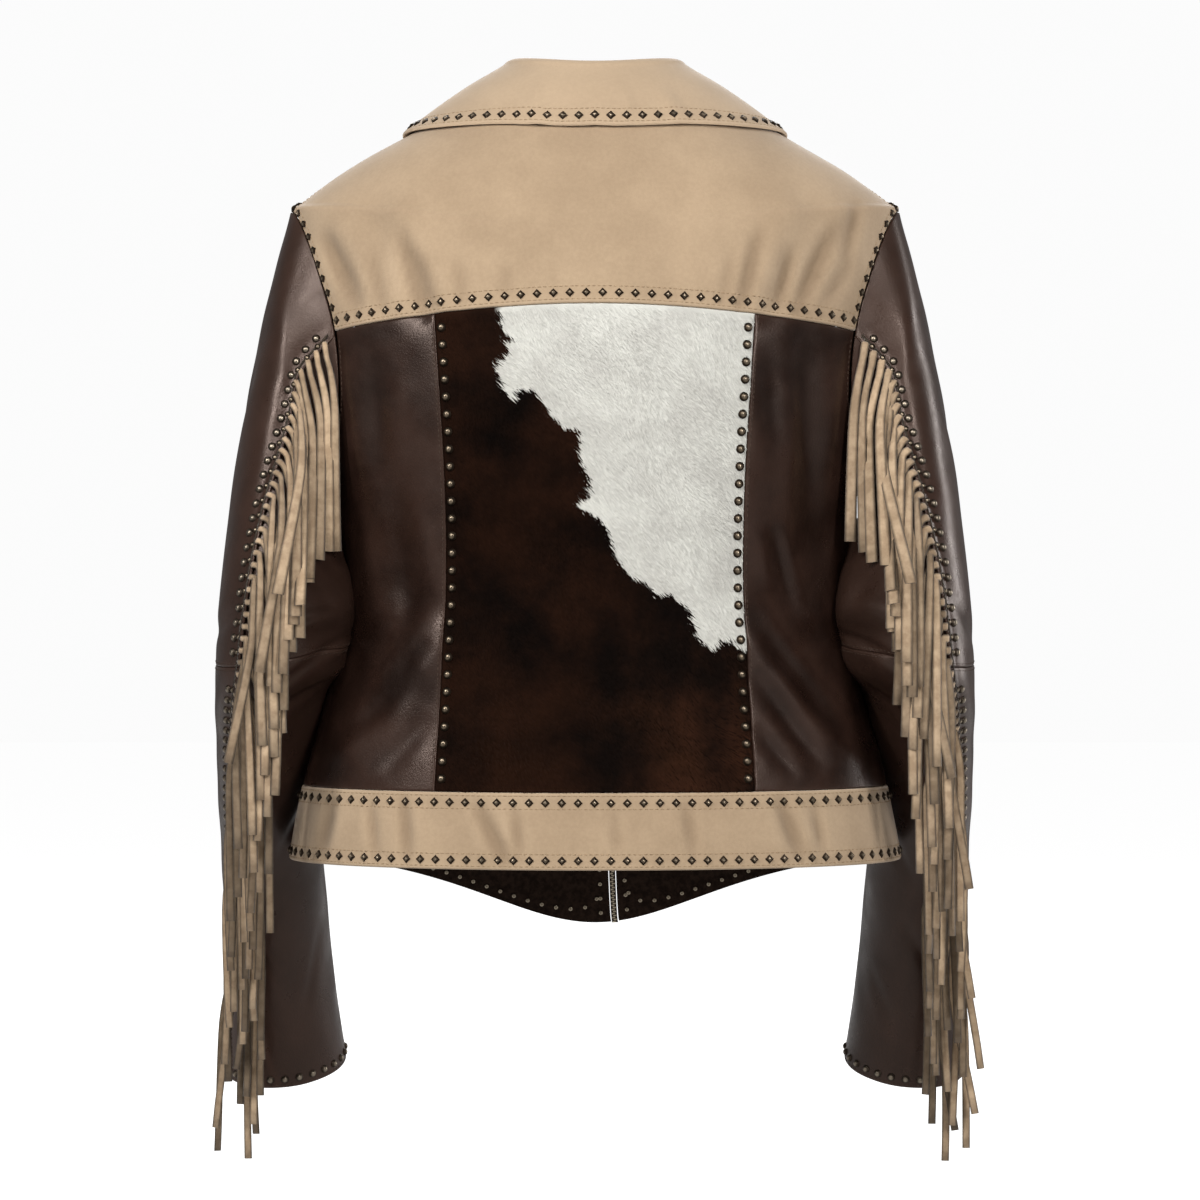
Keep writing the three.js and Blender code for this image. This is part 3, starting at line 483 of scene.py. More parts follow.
def cloudy_tone_group():
    """A colour that drifts between two tones, as dyed or natural hide does: soft noise."""
    tree, given, result = new_group(
        "cloudy_tone",
        [("Vector", "NodeSocketVector", None), ("Scale", "NodeSocketFloat", 10.0),
         ("Dark", "NodeSocketColor", None), ("Light", "NodeSocketColor", None)],
        [("Color", "NodeSocketColor"), ("Mask", "NodeSocketFloat")],
    )
    noise = put(tree, "ShaderNodeTexNoise", {
        "Vector": given["Vector"], "Scale": given["Scale"], "Detail": 4.0, "Roughness": 0.6,
    })
    mask = ranged(tree, noise.outputs["Fac"], (0.32, 0.68), interpolation_type="SMOOTHSTEP")
    tree.links.new(mixed(tree, mask, given["Dark"], given["Light"]), result.inputs["Color"])
    tree.links.new(mask, result.inputs["Mask"])
    return tree


CLOUDY_TONE = cloudy_tone_group()


def toned(tree, vector, scale, dark, light):
    """The cloudy tone group placed in a material."""
    return put(tree, "ShaderNodeGroup", {
        "Vector": vector, "Scale": scale, "Dark": (*dark, 1), "Light": (*light, 1),
    }, node_tree=CLOUDY_TONE).outputs


def new_material(name, **constants):
    """A material with its shader, its node tree and the object's own coordinates."""
    material = bpy.data.materials.new(name)
    material.use_nodes = True
    tree = material.node_tree
    shader = tree.nodes["Principled BSDF"]
    for label, value in constants.items():
        shader.inputs[label.replace("_", " ")].default_value = value
    place = put(tree, "ShaderNodeTexCoord").outputs["Object"]
    return material, tree, shader, place


def clouded_material(name, scale, dark, light, **constants):
    """A material of one cloudy colour: the clouds' scale and their two tones."""
    material, tree, shader, place = new_material(name, **constants)
    feed(tree, shader.inputs["Base Color"], toned(tree, place, scale, dark, light)["Color"])
    return material


def value_at(tree, name):
    """An attribute of the mesh."""
    return put(tree, "ShaderNodeAttribute", attribute_name=name).outputs["Fac"]


RAW_DARK = (0.015, 0.0085, 0.006)
RAW_LIGHT = (0.034, 0.020, 0.014)
HIDE_BLACK = (0.0028, 0.0014, 0.0009)
HIDE_RED = (0.0185, 0.0068, 0.0032)
HIDE_GREY_WHITE = (0.60, 0.585, 0.535)
HIDE_WHITE = (0.70, 0.69, 0.63)
HAIR_SHADES = (0.74, 2.6)  # the coat's colour times this, from the darkest hair to the palest


def hide_material():
    """Cowhide: near-black and red-brown tones with a white patch, each hair a little different, and
    a painted sheen that pales the dark hair towards the lower right.
    """
    material, tree, shader, place = new_material(
        "hair_on_hide", Roughness=0.7, Specular_IOR_Level=0.03
    )
    brown = toned(tree, place, 14, HIDE_BLACK, HIDE_RED)["Color"]
    white = toned(tree, place, 40, HIDE_GREY_WHITE, HIDE_WHITE)["Color"]
    coat = mixed(tree, value_at(tree, "white"), brown, white)
    shade = ranged(tree, value_at(tree, "hair_tone_and_sheen"), after=HAIR_SHADES)
    feed(tree, shader.inputs["Base Color"], mixed(tree, 1.0, coat, shade, "MULTIPLY"))
    return material


WHITE_PATCH = [  # x and z of the patch's outline, down its left edge and back over the seams
    [66, -140], [62, -158], [57, -178], [68, -191], [62, -204], [56, -212], [51, -204],
    [42, -205], [30, -222], [14, -233], [9, -255], [4, -268], [12, -281], [-7, -294],
    [-12, -315], [-26, -331], [-38, -338], [-49, -340], [-62, -352], [-64, -366], [-77, -376],
    [-84, -371], [-98, -377], [-125, -384], [-125, -130], [66, -130],
]
HAIR_COUNT = 62000
HAIR_LENGTH = 6.4
HAIR_WIDTH = 0.6
HAIR_LIFT = 0.55  # of a hair's middle above the skin
HAIR_MARGIN = 0.006  # share of the panel along each edge that has no hair roots
HAIR_WAY = [-0.62, -0.78]  # the way that it lies, along x and z
HAIR_SWAY = 0.3  # radians that its way drifts over the hide, and by chance from hair to hair
HAIR_CHANCE = 0.1
HAIR_PINCH = 0.8  # a blade's width at its middle, as a share
HAIR_FALL = 0.75  # its tip's height, as a share of its middle's
HAIR_SHORT = 0.25  # share of its length left at a seam that it leans over
HAIR_TONES = [0.09, 0.09, 0.14, 0.14, 0.17]  # of a blade's five points, paler to its tip
SKIN_TONE = 0.06  # of the hide under the hair
PAINTED_SHEEN_TONE = 0.72  # painted sheen: added towards the lower right, where the dark hair is paler as it catches the light
PAINTED_SHEEN_START = (20, -330)  # x and z where it starts, and over how many mm it grows
PAINTED_SHEEN_REACH = (120, 90)
PATCH_BORDER = 2.4  # width in which the patch's border runs from brown to white


def patch_share(x, z):
    """1 inside the white patch and 0 outside, with a ragged border a few hairs wide.

    It is the distance to the outline's nearest side, signed by counting the sides crossed.
    """
    outline = np.array(WHITE_PATCH, float)
    nearest = np.full(x.shape, 1e9)
    inside = np.zeros(x.shape, bool)
    for (x1, z1), (x2, z2) in zip(outline, np.roll(outline, -1, 0)):
        nearest = np.minimum(nearest, off_line(x, z, x1, z1, x2, z2))
        if z1 != z2:
            inside ^= ((z1 > z) != (z2 > z)) & (x < x1 + (z - z1) * (x2 - x1) / (z2 - z1))
    signed = np.where(inside, nearest, -nearest)
    signed = signed + 2.0 * ripple(x, z, 22, 3) + 1.3 * ripple(x, z, 7, 4)
    return np.clip(signed / PATCH_BORDER + 0.5, 0, 1)


def hair_on(grid_face, pick):
    """Short hairs as flat blades of five points: a root pair, a bent middle pair and a tip.

    Each lies along the hair's way on the skin, turned a little at random, and rises and falls
    back towards its tip.
    """
    u, v = pick.uniform(HAIR_MARGIN, 1 - HAIR_MARGIN, (2, HAIR_COUNT))
    points, ways = grid_face(u, v)
    room = np.clip(np.minimum(u * 25, v * 45) + HAIR_SHORT, 0, 1)
    sway = HAIR_SWAY * ripple(points[:, 0], points[:, 2], 70, 8)
    sway = sway + pick.normal(0, HAIR_CHANCE, HAIR_COUNT)
    turn_x = HAIR_WAY[0] * np.cos(sway) - HAIR_WAY[1] * np.sin(sway)
    turn_z = HAIR_WAY[0] * np.sin(sway) + HAIR_WAY[1] * np.cos(sway)
    lie = np.stack([turn_x, np.zeros(HAIR_COUNT), turn_z], -1)
    lie -= ways * (lie * ways).sum(-1, keepdims=True)
    lie = unit(lie)
    across = np.cross(lie, ways)
    length = (HAIR_LENGTH * room * pick.uniform(0.65, 1.15, HAIR_COUNT))[:, None]
    lift = (HAIR_LIFT * pick.uniform(0.35, 1.2, HAIR_COUNT))[:, None]
    half = across * HAIR_WIDTH / 2
    middle = points + lie * length * 0.5 + ways * lift
    tip = points + lie * length + ways * lift * HAIR_FALL
    pinched = half * HAIR_PINCH
    corners = [points - half, points + half, middle + pinched, middle - pinched, tip]
    blades = np.stack(corners, 1).reshape(-1, 3)
    first = 5 * np.arange(HAIR_COUNT)[:, None]
    faces = np.concatenate([first + [0, 1, 2], first + [0, 2, 3], first + [3, 2, 4]])
    thing = mesh_of("hide_hair", blades, faces.tolist())
    white = patch_share(points[:, 0] + pick.normal(0, 1.1, HAIR_COUNT), points[:, 2])
    attribute(thing, "white", np.repeat((white > 0.5).astype(float), 5))
    # Painted sheen: the dark hair is paler towards the lower right, where it catches the light.
    aside, down = ((PAINTED_SHEEN_START[k] - points[:, 2 * k]) / PAINTED_SHEEN_REACH[k] for k in (0, 1))
    painted_sheen = np.clip(aside, 0, 1) * np.clip(down, 0, 1)
    tone = pick.uniform(0.2, 1, HAIR_COUNT)[:, None] * HAIR_TONES
    attribute(thing, "hair_tone_and_sheen", tone + (PAINTED_SHEEN_TONE * painted_sheen * (white <= 0.5))[:, None])
    return thing


BACK_CREASES = [  # x and z of both ends as seen from behind, width and height
    [128, -100, 114, -156, 7, -4.2],  # yoke, wearer's left
    [118, -112, 106, -154, 6, -3.0],
    [182, -98, 158, -148, 8, -4.6],
    [150, -110, 140, -156, 7, -2.4],
    [92, -118, 86, -152, 7, -2.0],
    [60, -122, 58, -146, 7, -1.2],
    [-95, -155, -110, -98, 7, -3.8],  # yoke, wearer's right
    [-84, -152, -92, -112, 6, -1.8],
    [-121, -152, -131, -110, 6, -3.2],
    [-134, -152, -162, -92, 7, -4.4],
    [-166, -118, -176, -78, 7, -3.2],
    [-150, -150, -172, -116, 6, -2.0],
    [150, -480, 146, -516, 5, -2.6],  # waistband
    [127, -476, 124, -520, 6, -3.2],
    [78, -480, 58, -520, 7, -3.4],
    [53, -482, 49, -516, 5, -2.4],
    [-122, -476, -138, -518, 7, -3.3],
    [-146, -482, -152, -514, 5, -2.2],
    [-60, -480, -66, -514, 6, -2.0],
    [-12, -486, -16, -514, 6, -1.5],
    [176, -480, 184, -516, 6, -2.2],
    [108, -368, 152, -415, 11, -2.8],  # side backs
    [120, -396, 168, -438, 10, -2.4],
    [112, -425, 140, -458, 9, -1.5],
    [136, -262, 124, -366, 15, -2.4],
    [150, -180, 146, -262, 13, -3.2],
    [-105, -358, -166, -434, 10, -5.2],
    [-110, -398, -152, -456, 9, -3.8],
    [-108, -432, -134, -462, 7, -2.4],
    [-142, -160, -150, -335, 14, -4.6],
    [-118, -296, -136, -352, 9, -3.0],
    [-116, -180, -122, -260, 11, -2.4],
]


def back_detail(side, rough):
    """A back piece's own creases and slow unevenness; on the wearer's right, x is mirrored."""
    def detail(x, z):
        return creases(side * x, z, BACK_CREASES) + rough * ripple(side * x, z, 60, 5)
    return detail


def along_yoke(start, end):
    """A border along the yoke's lower edge, from one angle to another."""
    return lambda share: yoke_edge(start + (end - start) * share)


CENTRE_BOTTOM_ANGLE = float(long_seam(np.array(0.0))[0])
CENTRE_TOP_ANGLE = float(long_seam(np.array(1.0))[0])
centre_face = panel(
    lambda share: long_seam(share) * [-1, 1],
    long_seam,
    straight((-CENTRE_BOTTOM_ANGLE, BAND_ROW), (CENTRE_BOTTOM_ANGLE, BAND_ROW)),
    along_yoke(-CENTRE_TOP_ANGLE, CENTRE_TOP_ANGLE),
    back_detail(1, 0.3),
)
centre_grid = grid_of(centre_face)
hide = hide_material()
raw_back = clouded_material(
    "raw_back", 240, RAW_DARK, RAW_LIGHT, Roughness=0.95, Specular_IOR_Level=0.1
)
back_centre = shell("back_centre_hide", centre_grid, 0.0, -LEATHER, hide, raw_back)
skin = centre_grid[0]
attribute(back_centre, "white", np.tile(patch_share(skin[..., 0], skin[..., 2]).ravel(), 2))
attribute(back_centre, "hair_tone_and_sheen", np.full(2 * skin[..., 0].size, SKIN_TONE))
sewn_piece(back_centre, "back_centre", "hair_on_hide", centre_grid)
hide_hair = hair_on(centre_face, np.random.default_rng(11))
hide_hair.data.materials.append(hide)
on_jacket(hide_hair, "hair_on_hide")

# Side backs: smooth dark brown leather, from the centre back to the side seam and armhole.
# Each is cut in one piece. The leather is soft, with a fine grain and a low gloss.
LEATHER_DARK = (0.0105, 0.0047, 0.0032)
LEATHER_LIGHT = (0.027, 0.0130, 0.0090)
# The worn colour is both the rubbed edges and the painted highlight on crease ridges; the trough
# colour is painted shade in the creases.
LEATHER_WORN_AND_HIGHLIGHT = (0.056, 0.030, 0.021)
LEATHER_TROUGH_SHADE = (0.005, 0.0024, 0.0017)
LEATHER_SHINE = (1.0, 0.80, 0.70)
LEATHER_ROUGHNESS = (0.27, 0.38)
CREASE_SPAN = 6  # from the deepest trough to the highest ridge that a material tells apart
ARMHOLE_PART = 15  # degrees round the armhole that one part of a border takes up


def creased(thing, heights):
    """A piece's creases as an attribute for painted shade and highlight: above 0.5 in a trough and
    below it on a ridge.
    """
    values = np.clip(0.5 - heights / CREASE_SPAN, 0, 1).ravel()
    attribute(thing, "painted_crease_shade", np.tile(values, 2))


def back_heights(grid):
    """The heights of the back's creases at a grid's points."""
    x, y, z = np.moveaxis(grid[0], -1, 0)
    return np.where(y > 0, creases(x, z, BACK_CREASES), 0)


def scaled(tree, value, factor):
    """A value times a number."""
    return put(tree, "ShaderNodeMath", {0: value, 1: factor}, operation="MULTIPLY").outputs[0]


def shaded(tree, colour, most, trough, ridge):
    """Painted shade and highlight: a colour mixed towards a darker one in a piece's troughs and a
    paler one on its ridges.
    """
    painted_crease_shade = value_at(tree, "painted_crease_shade")
    low = ranged(tree, painted_crease_shade, (0.52, 0.95), (0, most))
    high = ranged(tree, painted_crease_shade, (0.48, 0.36), (0, most * 0.6))
    return mixed(tree, high, mixed(tree, low, colour, (*trough, 1)), (*ridge, 1))


def leather_grain_group():
    """The height of leather's grain: round pebbles parted by fine valleys, over fine fibres."""
    tree, given, result = new_group(
        "leather_grain",
        [("Vector", "NodeSocketVector", None), ("Pebble Scale", "NodeSocketFloat", 600.0),
         ("Fibre Scale", "NodeSocketFloat", 2500.0)],
        [("Height", "NodeSocketFloat")],
    )
    pebbles = put(tree, "ShaderNodeTexVoronoi", {
        "Vector": given["Vector"], "Scale": given["Pebble Scale"], "Smoothness": 0.6,
    }, feature="SMOOTH_F1").outputs["Distance"]
    fibres = put(tree, "ShaderNodeTexNoise", {
        "Vector": given["Vector"], "Scale": given["Fibre Scale"], "Detail": 3.0,
    }).outputs["Fac"]
    both = put(tree, "ShaderNodeMath", {
        0: fibres, 1: 0.35, 2: scaled(tree, pebbles, -0.8),
    }, operation="MULTIPLY_ADD")
    tree.links.new(both.outputs[0], result.inputs["Height"])
    return tree


LEATHER_GRAIN = leather_grain_group()


def bumped(tree, shader, vector, pebble_scale, fibre_scale, depth):
    """The leather grain group placed in a material, as a bump of that depth in metres."""
    group = put(tree, "ShaderNodeGroup", {
        "Vector": vector, "Pebble Scale": pebble_scale, "Fibre Scale": fibre_scale,
    }, node_tree=LEATHER_GRAIN)
    bump = put(tree, "ShaderNodeBump", {
        "Height": group.outputs["Height"], "Distance": depth, "Strength": 0.8,
    })
    tree.links.new(bump.outputs["Normal"], shader.inputs["Normal"])


def leather_material():
    """Dyed leather: cloudy brown, rubbed paler at its edges, with painted shade in its creases, a
    painted highlight on their ridges and an uneven low gloss.
    """
    material, tree, shader, place = new_material(
        "brown_leather", Specular_IOR_Level=0.42, Specular_Tint=(*LEATHER_SHINE, 1)
    )
    tone = toned(tree, place, 18, LEATHER_DARK, LEATHER_LIGHT)
    worn = scaled(tree, value_at(tree, "edge"), 0.35)
    colour = mixed(tree, worn, tone["Color"], (*LEATHER_WORN_AND_HIGHLIGHT, 1))
    # Painted shade in the creases and a painted highlight on their ridges.
    colour = shaded(tree, colour, 0.5, LEATHER_TROUGH_SHADE, LEATHER_WORN_AND_HIGHLIGHT)
    feed(tree, shader.inputs["Base Color"], colour)
    clouds = toned(tree, place, 55, (0, 0, 0), (1, 1, 1))["Mask"]
    feed(tree, shader.inputs["Roughness"], ranged(tree, clouds, after=LEATHER_ROUGHNESS))
    bumped(tree, shader, place, 750, 3200, 0.00009)
    return material


brown_leather = leather_material()


def leather_piece(node, grid, heights=None):
    """A piece of brown leather with its raw back, sewn on in place of its solid."""
    thing = shell(f"{node}_leather", grid, 0.0, -LEATHER, brown_leather, raw_back)
    if heights is not None:
        creased(thing, heights)
    sewn_piece(thing, node, "brown_leather", grid)


def side_then_armhole(foot_row, side_parts, last_turn):
    """Up the side seam to the underarm, then round the armhole to a turn, an even share each."""
    def border(share):
        k = share * (side_parts + abs(last_turn) / ARMHOLE_PART)
        up = np.clip(k / side_parts, 0, 1)
        seam = np.stack([np.full(np.shape(k), SIDE), foot_row + (UNDERARM_ROW - foot_row) * up], -1)
        turn = np.clip(k - side_parts, 0, None) * ARMHOLE_PART * np.sign(last_turn)
        return np.where((k < side_parts)[..., None], seam, armhole(turn))
    return border


def flipped(places, side):
    """Places on the wearer's left, or their mirror images on the right."""
    return tuple(values * np.array([side, 1, 1]) for values in places)


def mirrored(grid, side):
    """A grid on the wearer's left, or its mirror image on the right."""
    return (*flipped(grid[:2], side), grid[2])


SIDES = (("left", 1), ("right", -1))


def side_back_face(side):
    """A side back's face, worked out on the wearer's left."""
    return panel(
        long_seam,
        side_then_armhole(BAND_ROW, 6, YOKE_BACK_TURN),
        straight((CENTRE_BOTTOM_ANGLE, BAND_ROW), (SIDE, BAND_ROW)),
        along_yoke(CENTRE_TOP_ANGLE, YOKE_CORNER[0]),
        back_detail(side, 0.5),
    )


for name, side in SIDES:
    side_back_grid = mirrored(grid_of(side_back_face(side)), side)
    leather_piece(f"back_side_{name}", side_back_grid, back_heights(side_back_grid))

# Waistband: thick tan suede across the back, from side seam to side seam.
# It is cut in one piece and laid over the lower ends of the back pieces.
RAISED = 0.8  # how far the thick suede stands above the leather
SUEDE_ROLL = 1.6  # radius of its edges
SUEDE_DARK = (0.26, 0.180, 0.110)
SUEDE_LIGHT = (0.425, 0.308, 0.198)
# The rubbed colour is both the rubbed edges and the painted highlight on crease ridges; the trough
# colour is painted shade in the creases.
SUEDE_RUBBED_AND_HIGHLIGHT = (0.54, 0.405, 0.275)
SUEDE_TROUGH_SHADE = (0.17, 0.112, 0.066)


def suede_material():
    """Suede: a matt nap with brushed paler and darker clouds, rubbed paler at its edges, with
    painted shade in its creases and a painted highlight on their ridges.
    """
    material, tree, shader, place = new_material(
        "tan_suede", Roughness=0.92, Specular_IOR_Level=0.2, Sheen_Weight=0.25,
        Sheen_Roughness=0.5
    )
    fine = toned(tree, place, 420, SUEDE_DARK, SUEDE_LIGHT)["Color"]
    cloud = toned(tree, place, 16, SUEDE_DARK, SUEDE_LIGHT)["Color"]
    nap = mixed(tree, 0.3, cloud, fine)
    softened = mixed(tree, 0.45, nap, (*SUEDE_LIGHT, 1))
    rubbed = scaled(tree, value_at(tree, "edge"), 0.4)
    colour = mixed(tree, rubbed, softened, (*SUEDE_RUBBED_AND_HIGHLIGHT, 1))
    # Painted shade in the creases and a painted highlight on their ridges.
    colour = shaded(tree, colour, 0.5, SUEDE_TROUGH_SHADE, SUEDE_RUBBED_AND_HIGHLIGHT)
    feed(tree, shader.inputs["Base Color"], colour)
    bumped(tree, shader, place, 1400, 2600, 0.00012)
    return material


tan_suede = suede_material()


def suede_piece(node, grid):
    """A piece of thick suede, creased like the back, sewn on in place of its solid."""
    thing = shell(f"{node}_suede", grid, RAISED, -LEATHER, tan_suede, roll=SUEDE_ROLL)
    creased(thing, back_heights(grid))
    sewn_piece(thing, node, "tan_suede", grid)


band_corners = [[(angle, row) for row in (HEM_ROW, BAND_ROW)] for angle in (-SIDE, SIDE)]
waistband_face = panel(
    straight(*band_corners[0]),
    straight(*band_corners[1]),
    *(straight(*ends) for ends in zip(*band_corners)),
    back_detail(1, 0.35),
)
suede_piece("waistband", grid_of(waistband_face))

# Yoke: tan suede in one piece over the upper back and both shoulders, down to the fronts.
# Its outer border runs over one armhole, along the back and over the other armhole.
YOKE_FRONT_TURN = 225
NECK_FRONT_ANGLE = 112 * DEGREE  # where the yoke's front edges meet the neck seam
NECK_BACK_ANGLE = 60 * DEGREE
SHOULDER_PARTS = 9  # of the yoke's border that lie along one armhole
BACK_PARTS = 12
YOKE_PARTS = 2 * SHOULDER_PARTS + BACK_PARTS


def yoke_parts(share):
    """A share of the yoke's border as parts from its start, parts from its nearer end and side."""
    k = share * YOKE_PARTS
    return k, np.minimum(k, YOKE_PARTS - k), np.where(k < YOKE_PARTS / 2, 1, -1)


def yoke_outer(share):
    """The yoke's outer border: over one armhole, along the back and over the other armhole."""
    k, from_end, side = yoke_parts(share)
    over_arm = armhole(YOKE_FRONT_TURN - ARMHOLE_PART * from_end)
    over_arm = over_arm * np.stack([side, np.ones_like(side)], -1)
    on_back = yoke_edge(YOKE_CORNER[0] * (1 - 2 * (k - SHOULDER_PARTS) / BACK_PARTS))
    return np.where((from_end <= SHOULDER_PARTS)[..., None], over_arm, on_back)


def neck_seam(share):
    """The yoke's inner border: the neck's ring, its angles shared out as the outer border's."""
    k, from_end, side = yoke_parts(share)
    along = from_end / SHOULDER_PARTS
    at_shoulder = side * (NECK_FRONT_ANGLE + (NECK_BACK_ANGLE - NECK_FRONT_ANGLE) * along)
    at_back = NECK_BACK_ANGLE * (YOKE_PARTS - 2 * k) / BACK_PARTS
    angle = np.where(from_end <= SHOULDER_PARTS, at_shoulder, at_back)
    return np.stack([angle, np.full(np.shape(k), float(NECK_ROW))], -1)


yoke_ends = [(yoke_outer(np.array(end)), neck_seam(np.array(end))) for end in (0.0, 1.0)]
yoke_face = panel(
    straight(*yoke_ends[0]), straight(*yoke_ends[1]), yoke_outer, neck_seam, back_detail(1, 0.5)
)
suede_piece("yoke", grid_of(yoke_face))

# Fronts: brown leather from hem to neck on both sides of the closing.
# The hem dips towards the closing, which runs a little to the wearer's right of the middle.
FRONT_DIP = 55
CLOSING_X = -14.5  # at the hem
ZIP_GAP = 5.4
CLOSING_PACE = 1.75  # the power that spreads the closing's rows from hem to neck
NECK_SHARE = 0.4  # of a front's upper border; the rest is the yoke's front edge
LOWEST_ROW = float(row_at_height(np.array(HEM_Z - FRONT_DIP)))


def front_hem_row(angle):
    """The hem's row at an angle: it sinks by a quarter of a sine wave towards the middle."""
    share = np.clip(1 - abs(np.sin(angle)), 0, None)
    return row_at_height(HEM_Z - FRONT_DIP * np.sin(share * SIDE))


def closing(share, aside):
    """The closing's places from hem to neck, moved sideways by a number of mm."""
    t = LOWEST_ROW + (NECK_ROW - LOWEST_ROW) * share**CLOSING_PACE
    return np.stack([angle_at_width(t, CLOSING_X * (1 - share) + aside, True), t], -1)


FRONT_CREASES = [
    [60, -300, 130, -250, 12, -1.6], [-55, -330, -140, -270, 12, -1.7],
    [70, -420, 150, -440, 10, -1.3], [-60, -410, -150, -450, 10, -1.4],
    [110, -180, 150, -260, 12, -1.8], [-105, -175, -150, -250, 12, -1.6],
    [40, -200, 90, -170, 9, -1.0], [-50, -215, -95, -180, 9, -1.1],
]


def front_face(side):
    """A front's face: u goes from the closing to the side seam and armhole, v from hem to neck."""
    def edge(v):
        place = closing(v, side * ZIP_GAP / 2)
        return place if side > 0 else place - np.array([2 * math.pi, 0])

    def seam(v):
        return side_then_armhole(HEM_ROW, 9, YOKE_FRONT_TURN - 360)(v) * np.array([side, 1])

    hem_start, neck_start = edge(np.array(0.0)), edge(np.array(1.0))
    corner = armhole(np.array(YOKE_FRONT_TURN)) * np.array([side, 1])
    turn_point = np.array([side * NECK_FRONT_ANGLE, NECK_ROW])

    def upper(u):
        at_neck = straight(neck_start, turn_point)(np.clip(u / NECK_SHARE, 0, 1))
        past_neck = np.clip((u - NECK_SHARE) / (1 - NECK_SHARE), 0, 1)
        at_yoke = straight(turn_point, corner)(past_neck)
        return np.where((u < NECK_SHARE)[..., None], at_neck, at_yoke)

    def hem(u):
        angle = hem_start[0] + (side * SIDE - hem_start[0]) * u
        return np.stack([angle, np.where(u <= 0, hem_start[1], front_hem_row(angle))], -1)

    def detail(x, z):
        return creases(x, z, FRONT_CREASES) + 0.5 * ripple(x, z, 60, 6)

    return panel(edge, seam, hem, upper, detail)


for name, side in SIDES:
    leather_piece(f"front_{name}", grid_of(front_face(side)))

# Sleeves: brown leather, each a top and an under piece in an upper and a lower length.
# They hang from the armholes a little bent, with a seam across the elbow and a back seam that
# carries the fringe. There the top piece laps over the fringe's strip.
SLEEVE_ROWS = [  # outer x and z, inner x and z, centre y, half depth, back seam's turn, lean
    [209, -78, 184, -268, 0, 62, 90, 1],  # armhole
    [222, -126, 184, -283, 2, 61, 90, 1],
    [232.5, -176, 179.4, -300, 8, 61, 92, 1],
    [242, -232, 175.8, -318, 18, 61, 98, 1],
    [249, -285, 171.5, -335, 31, 61, 107, 0.8],
    [254, -340, 169.5, -355, 43, 60, 116, 0.5],  # elbow
    [257.5, -388, 172, -375, 38, 58, 120, 0.25],  # seam across the sleeve
    [259.7, -418, 184.2, -402, 14, 55, 121, 0.4],
    [262.5, -448, 190, -432, -20, 53, 123, 0.6],
    [265, -486, 193.5, -470, -56, 52, 127, 0.8],
    [266, -530, 195.5, -516, -87, 50, 133, 1],
    [267, -582, 193, -571, -114, 48, 140, 1],
    [269, -634, 188.5, -624, -133, 45, 145, 1],
    [270.5, -687, 182, -680, -150, 43, 148, 1],  # cuff
]
CUFF_ROW = len(SLEEVE_ROWS) - 1
ELBOW_SEAM_ROW = 6
SLEEVE_PROUD = 0.8  # of the body's leather at the armhole
SLEEVE_FOLDS = [  # row, turn, spread over turns and rows, height
    [5.6, 40, 45, 0.35, -3],
    [6.5, 25, 40, 0.3, 2.2],
    [7.2, 15, 50, 0.35, -2.6],
    [1.6, 50, 30, 0.5, -2],
    [9.4, 60, 35, 0.6, -2],
    [10.4, 30, 35, 0.5, 2],
]
MM_OF_DEGREE = 0.95  # round the sleeve
MM_OF_ROW = 48  # down the sleeve
SLEEVE_CREASES = {  # both ends as turn and row, width in mm, height
    "left": [
        [60, 1.0, 100, 2.6, 8, -1.6], [20, 1.4, 60, 3.2, 9, -1.8], [150, 2.2, 190, 3.4, 9, -1.2],
        [30, 5.0, 110, 5.5, 8, -2.0], [10, 5.7, 80, 6.5, 8, -2.2], [120, 5.2, 190, 5.6, 8, -1.4],
        [20, 6.7, 95, 7.2, 8, -2.0], [60, 8.3, 110, 7.5, 8, -1.8], [10, 8.7, 70, 9.5, 8, -1.6],
        [-60, 5.5, 20, 6.3, 9, -2.2], [-110, 6.0, -30, 6.8, 9, -2.0],
        [80, 10.3, 120, 11.2, 8, -1.1], [30, 11.0, 60, 12.0, 8, -1.0], [0, 1.0, 0, 8.6, 36, 6.5],
    ],
    "right": [
        [65, 0.9, 95, 2.3, 8, -1.7], [25, 1.6, 70, 3.6, 9, -1.6], [155, 2.6, 200, 3.9, 9, -1.3],
        [40, 4.8, 115, 5.3, 8, -1.8], [5, 5.6, 85, 6.2, 8, -2.3], [125, 5.0, 180, 5.7, 8, -1.3],
        [30, 6.9, 100, 7.5, 8, -2.1], [50, 8.6, 105, 7.9, 8, -1.6], [15, 9.0, 75, 9.9, 8, -1.5],
        [-60, 5.4, 20, 6.1, 9, -2.0], [-110, 6.2, -35, 6.9, 9, -2.2],
        [70, 10.6, 115, 11.4, 8, -1.2], [35, 11.5, 70, 12.2, 8, -1.0], [0, 1.0, 0, 8.6, 36, 6.5],
    ],
}
FRONT_SEAM_TURN = -30
ARMHOLE_START = 0.006  # share of the first row that a sleeve stays off the armhole
ELBOW_GAP = 0.001
LAP_WIDTH = 2.4  # how far a top piece's edge reaches over the fringe's strip
LAP_HEIGHT = 2.7
LAP_RUN = 9.0  # from the edge to where the top piece lies down again
LAP_LAST_ROW = 11.7  # where the lap ends above the cuff
LAP_FADE = 0.3  # rows over which it rises at its start and sinks at its end


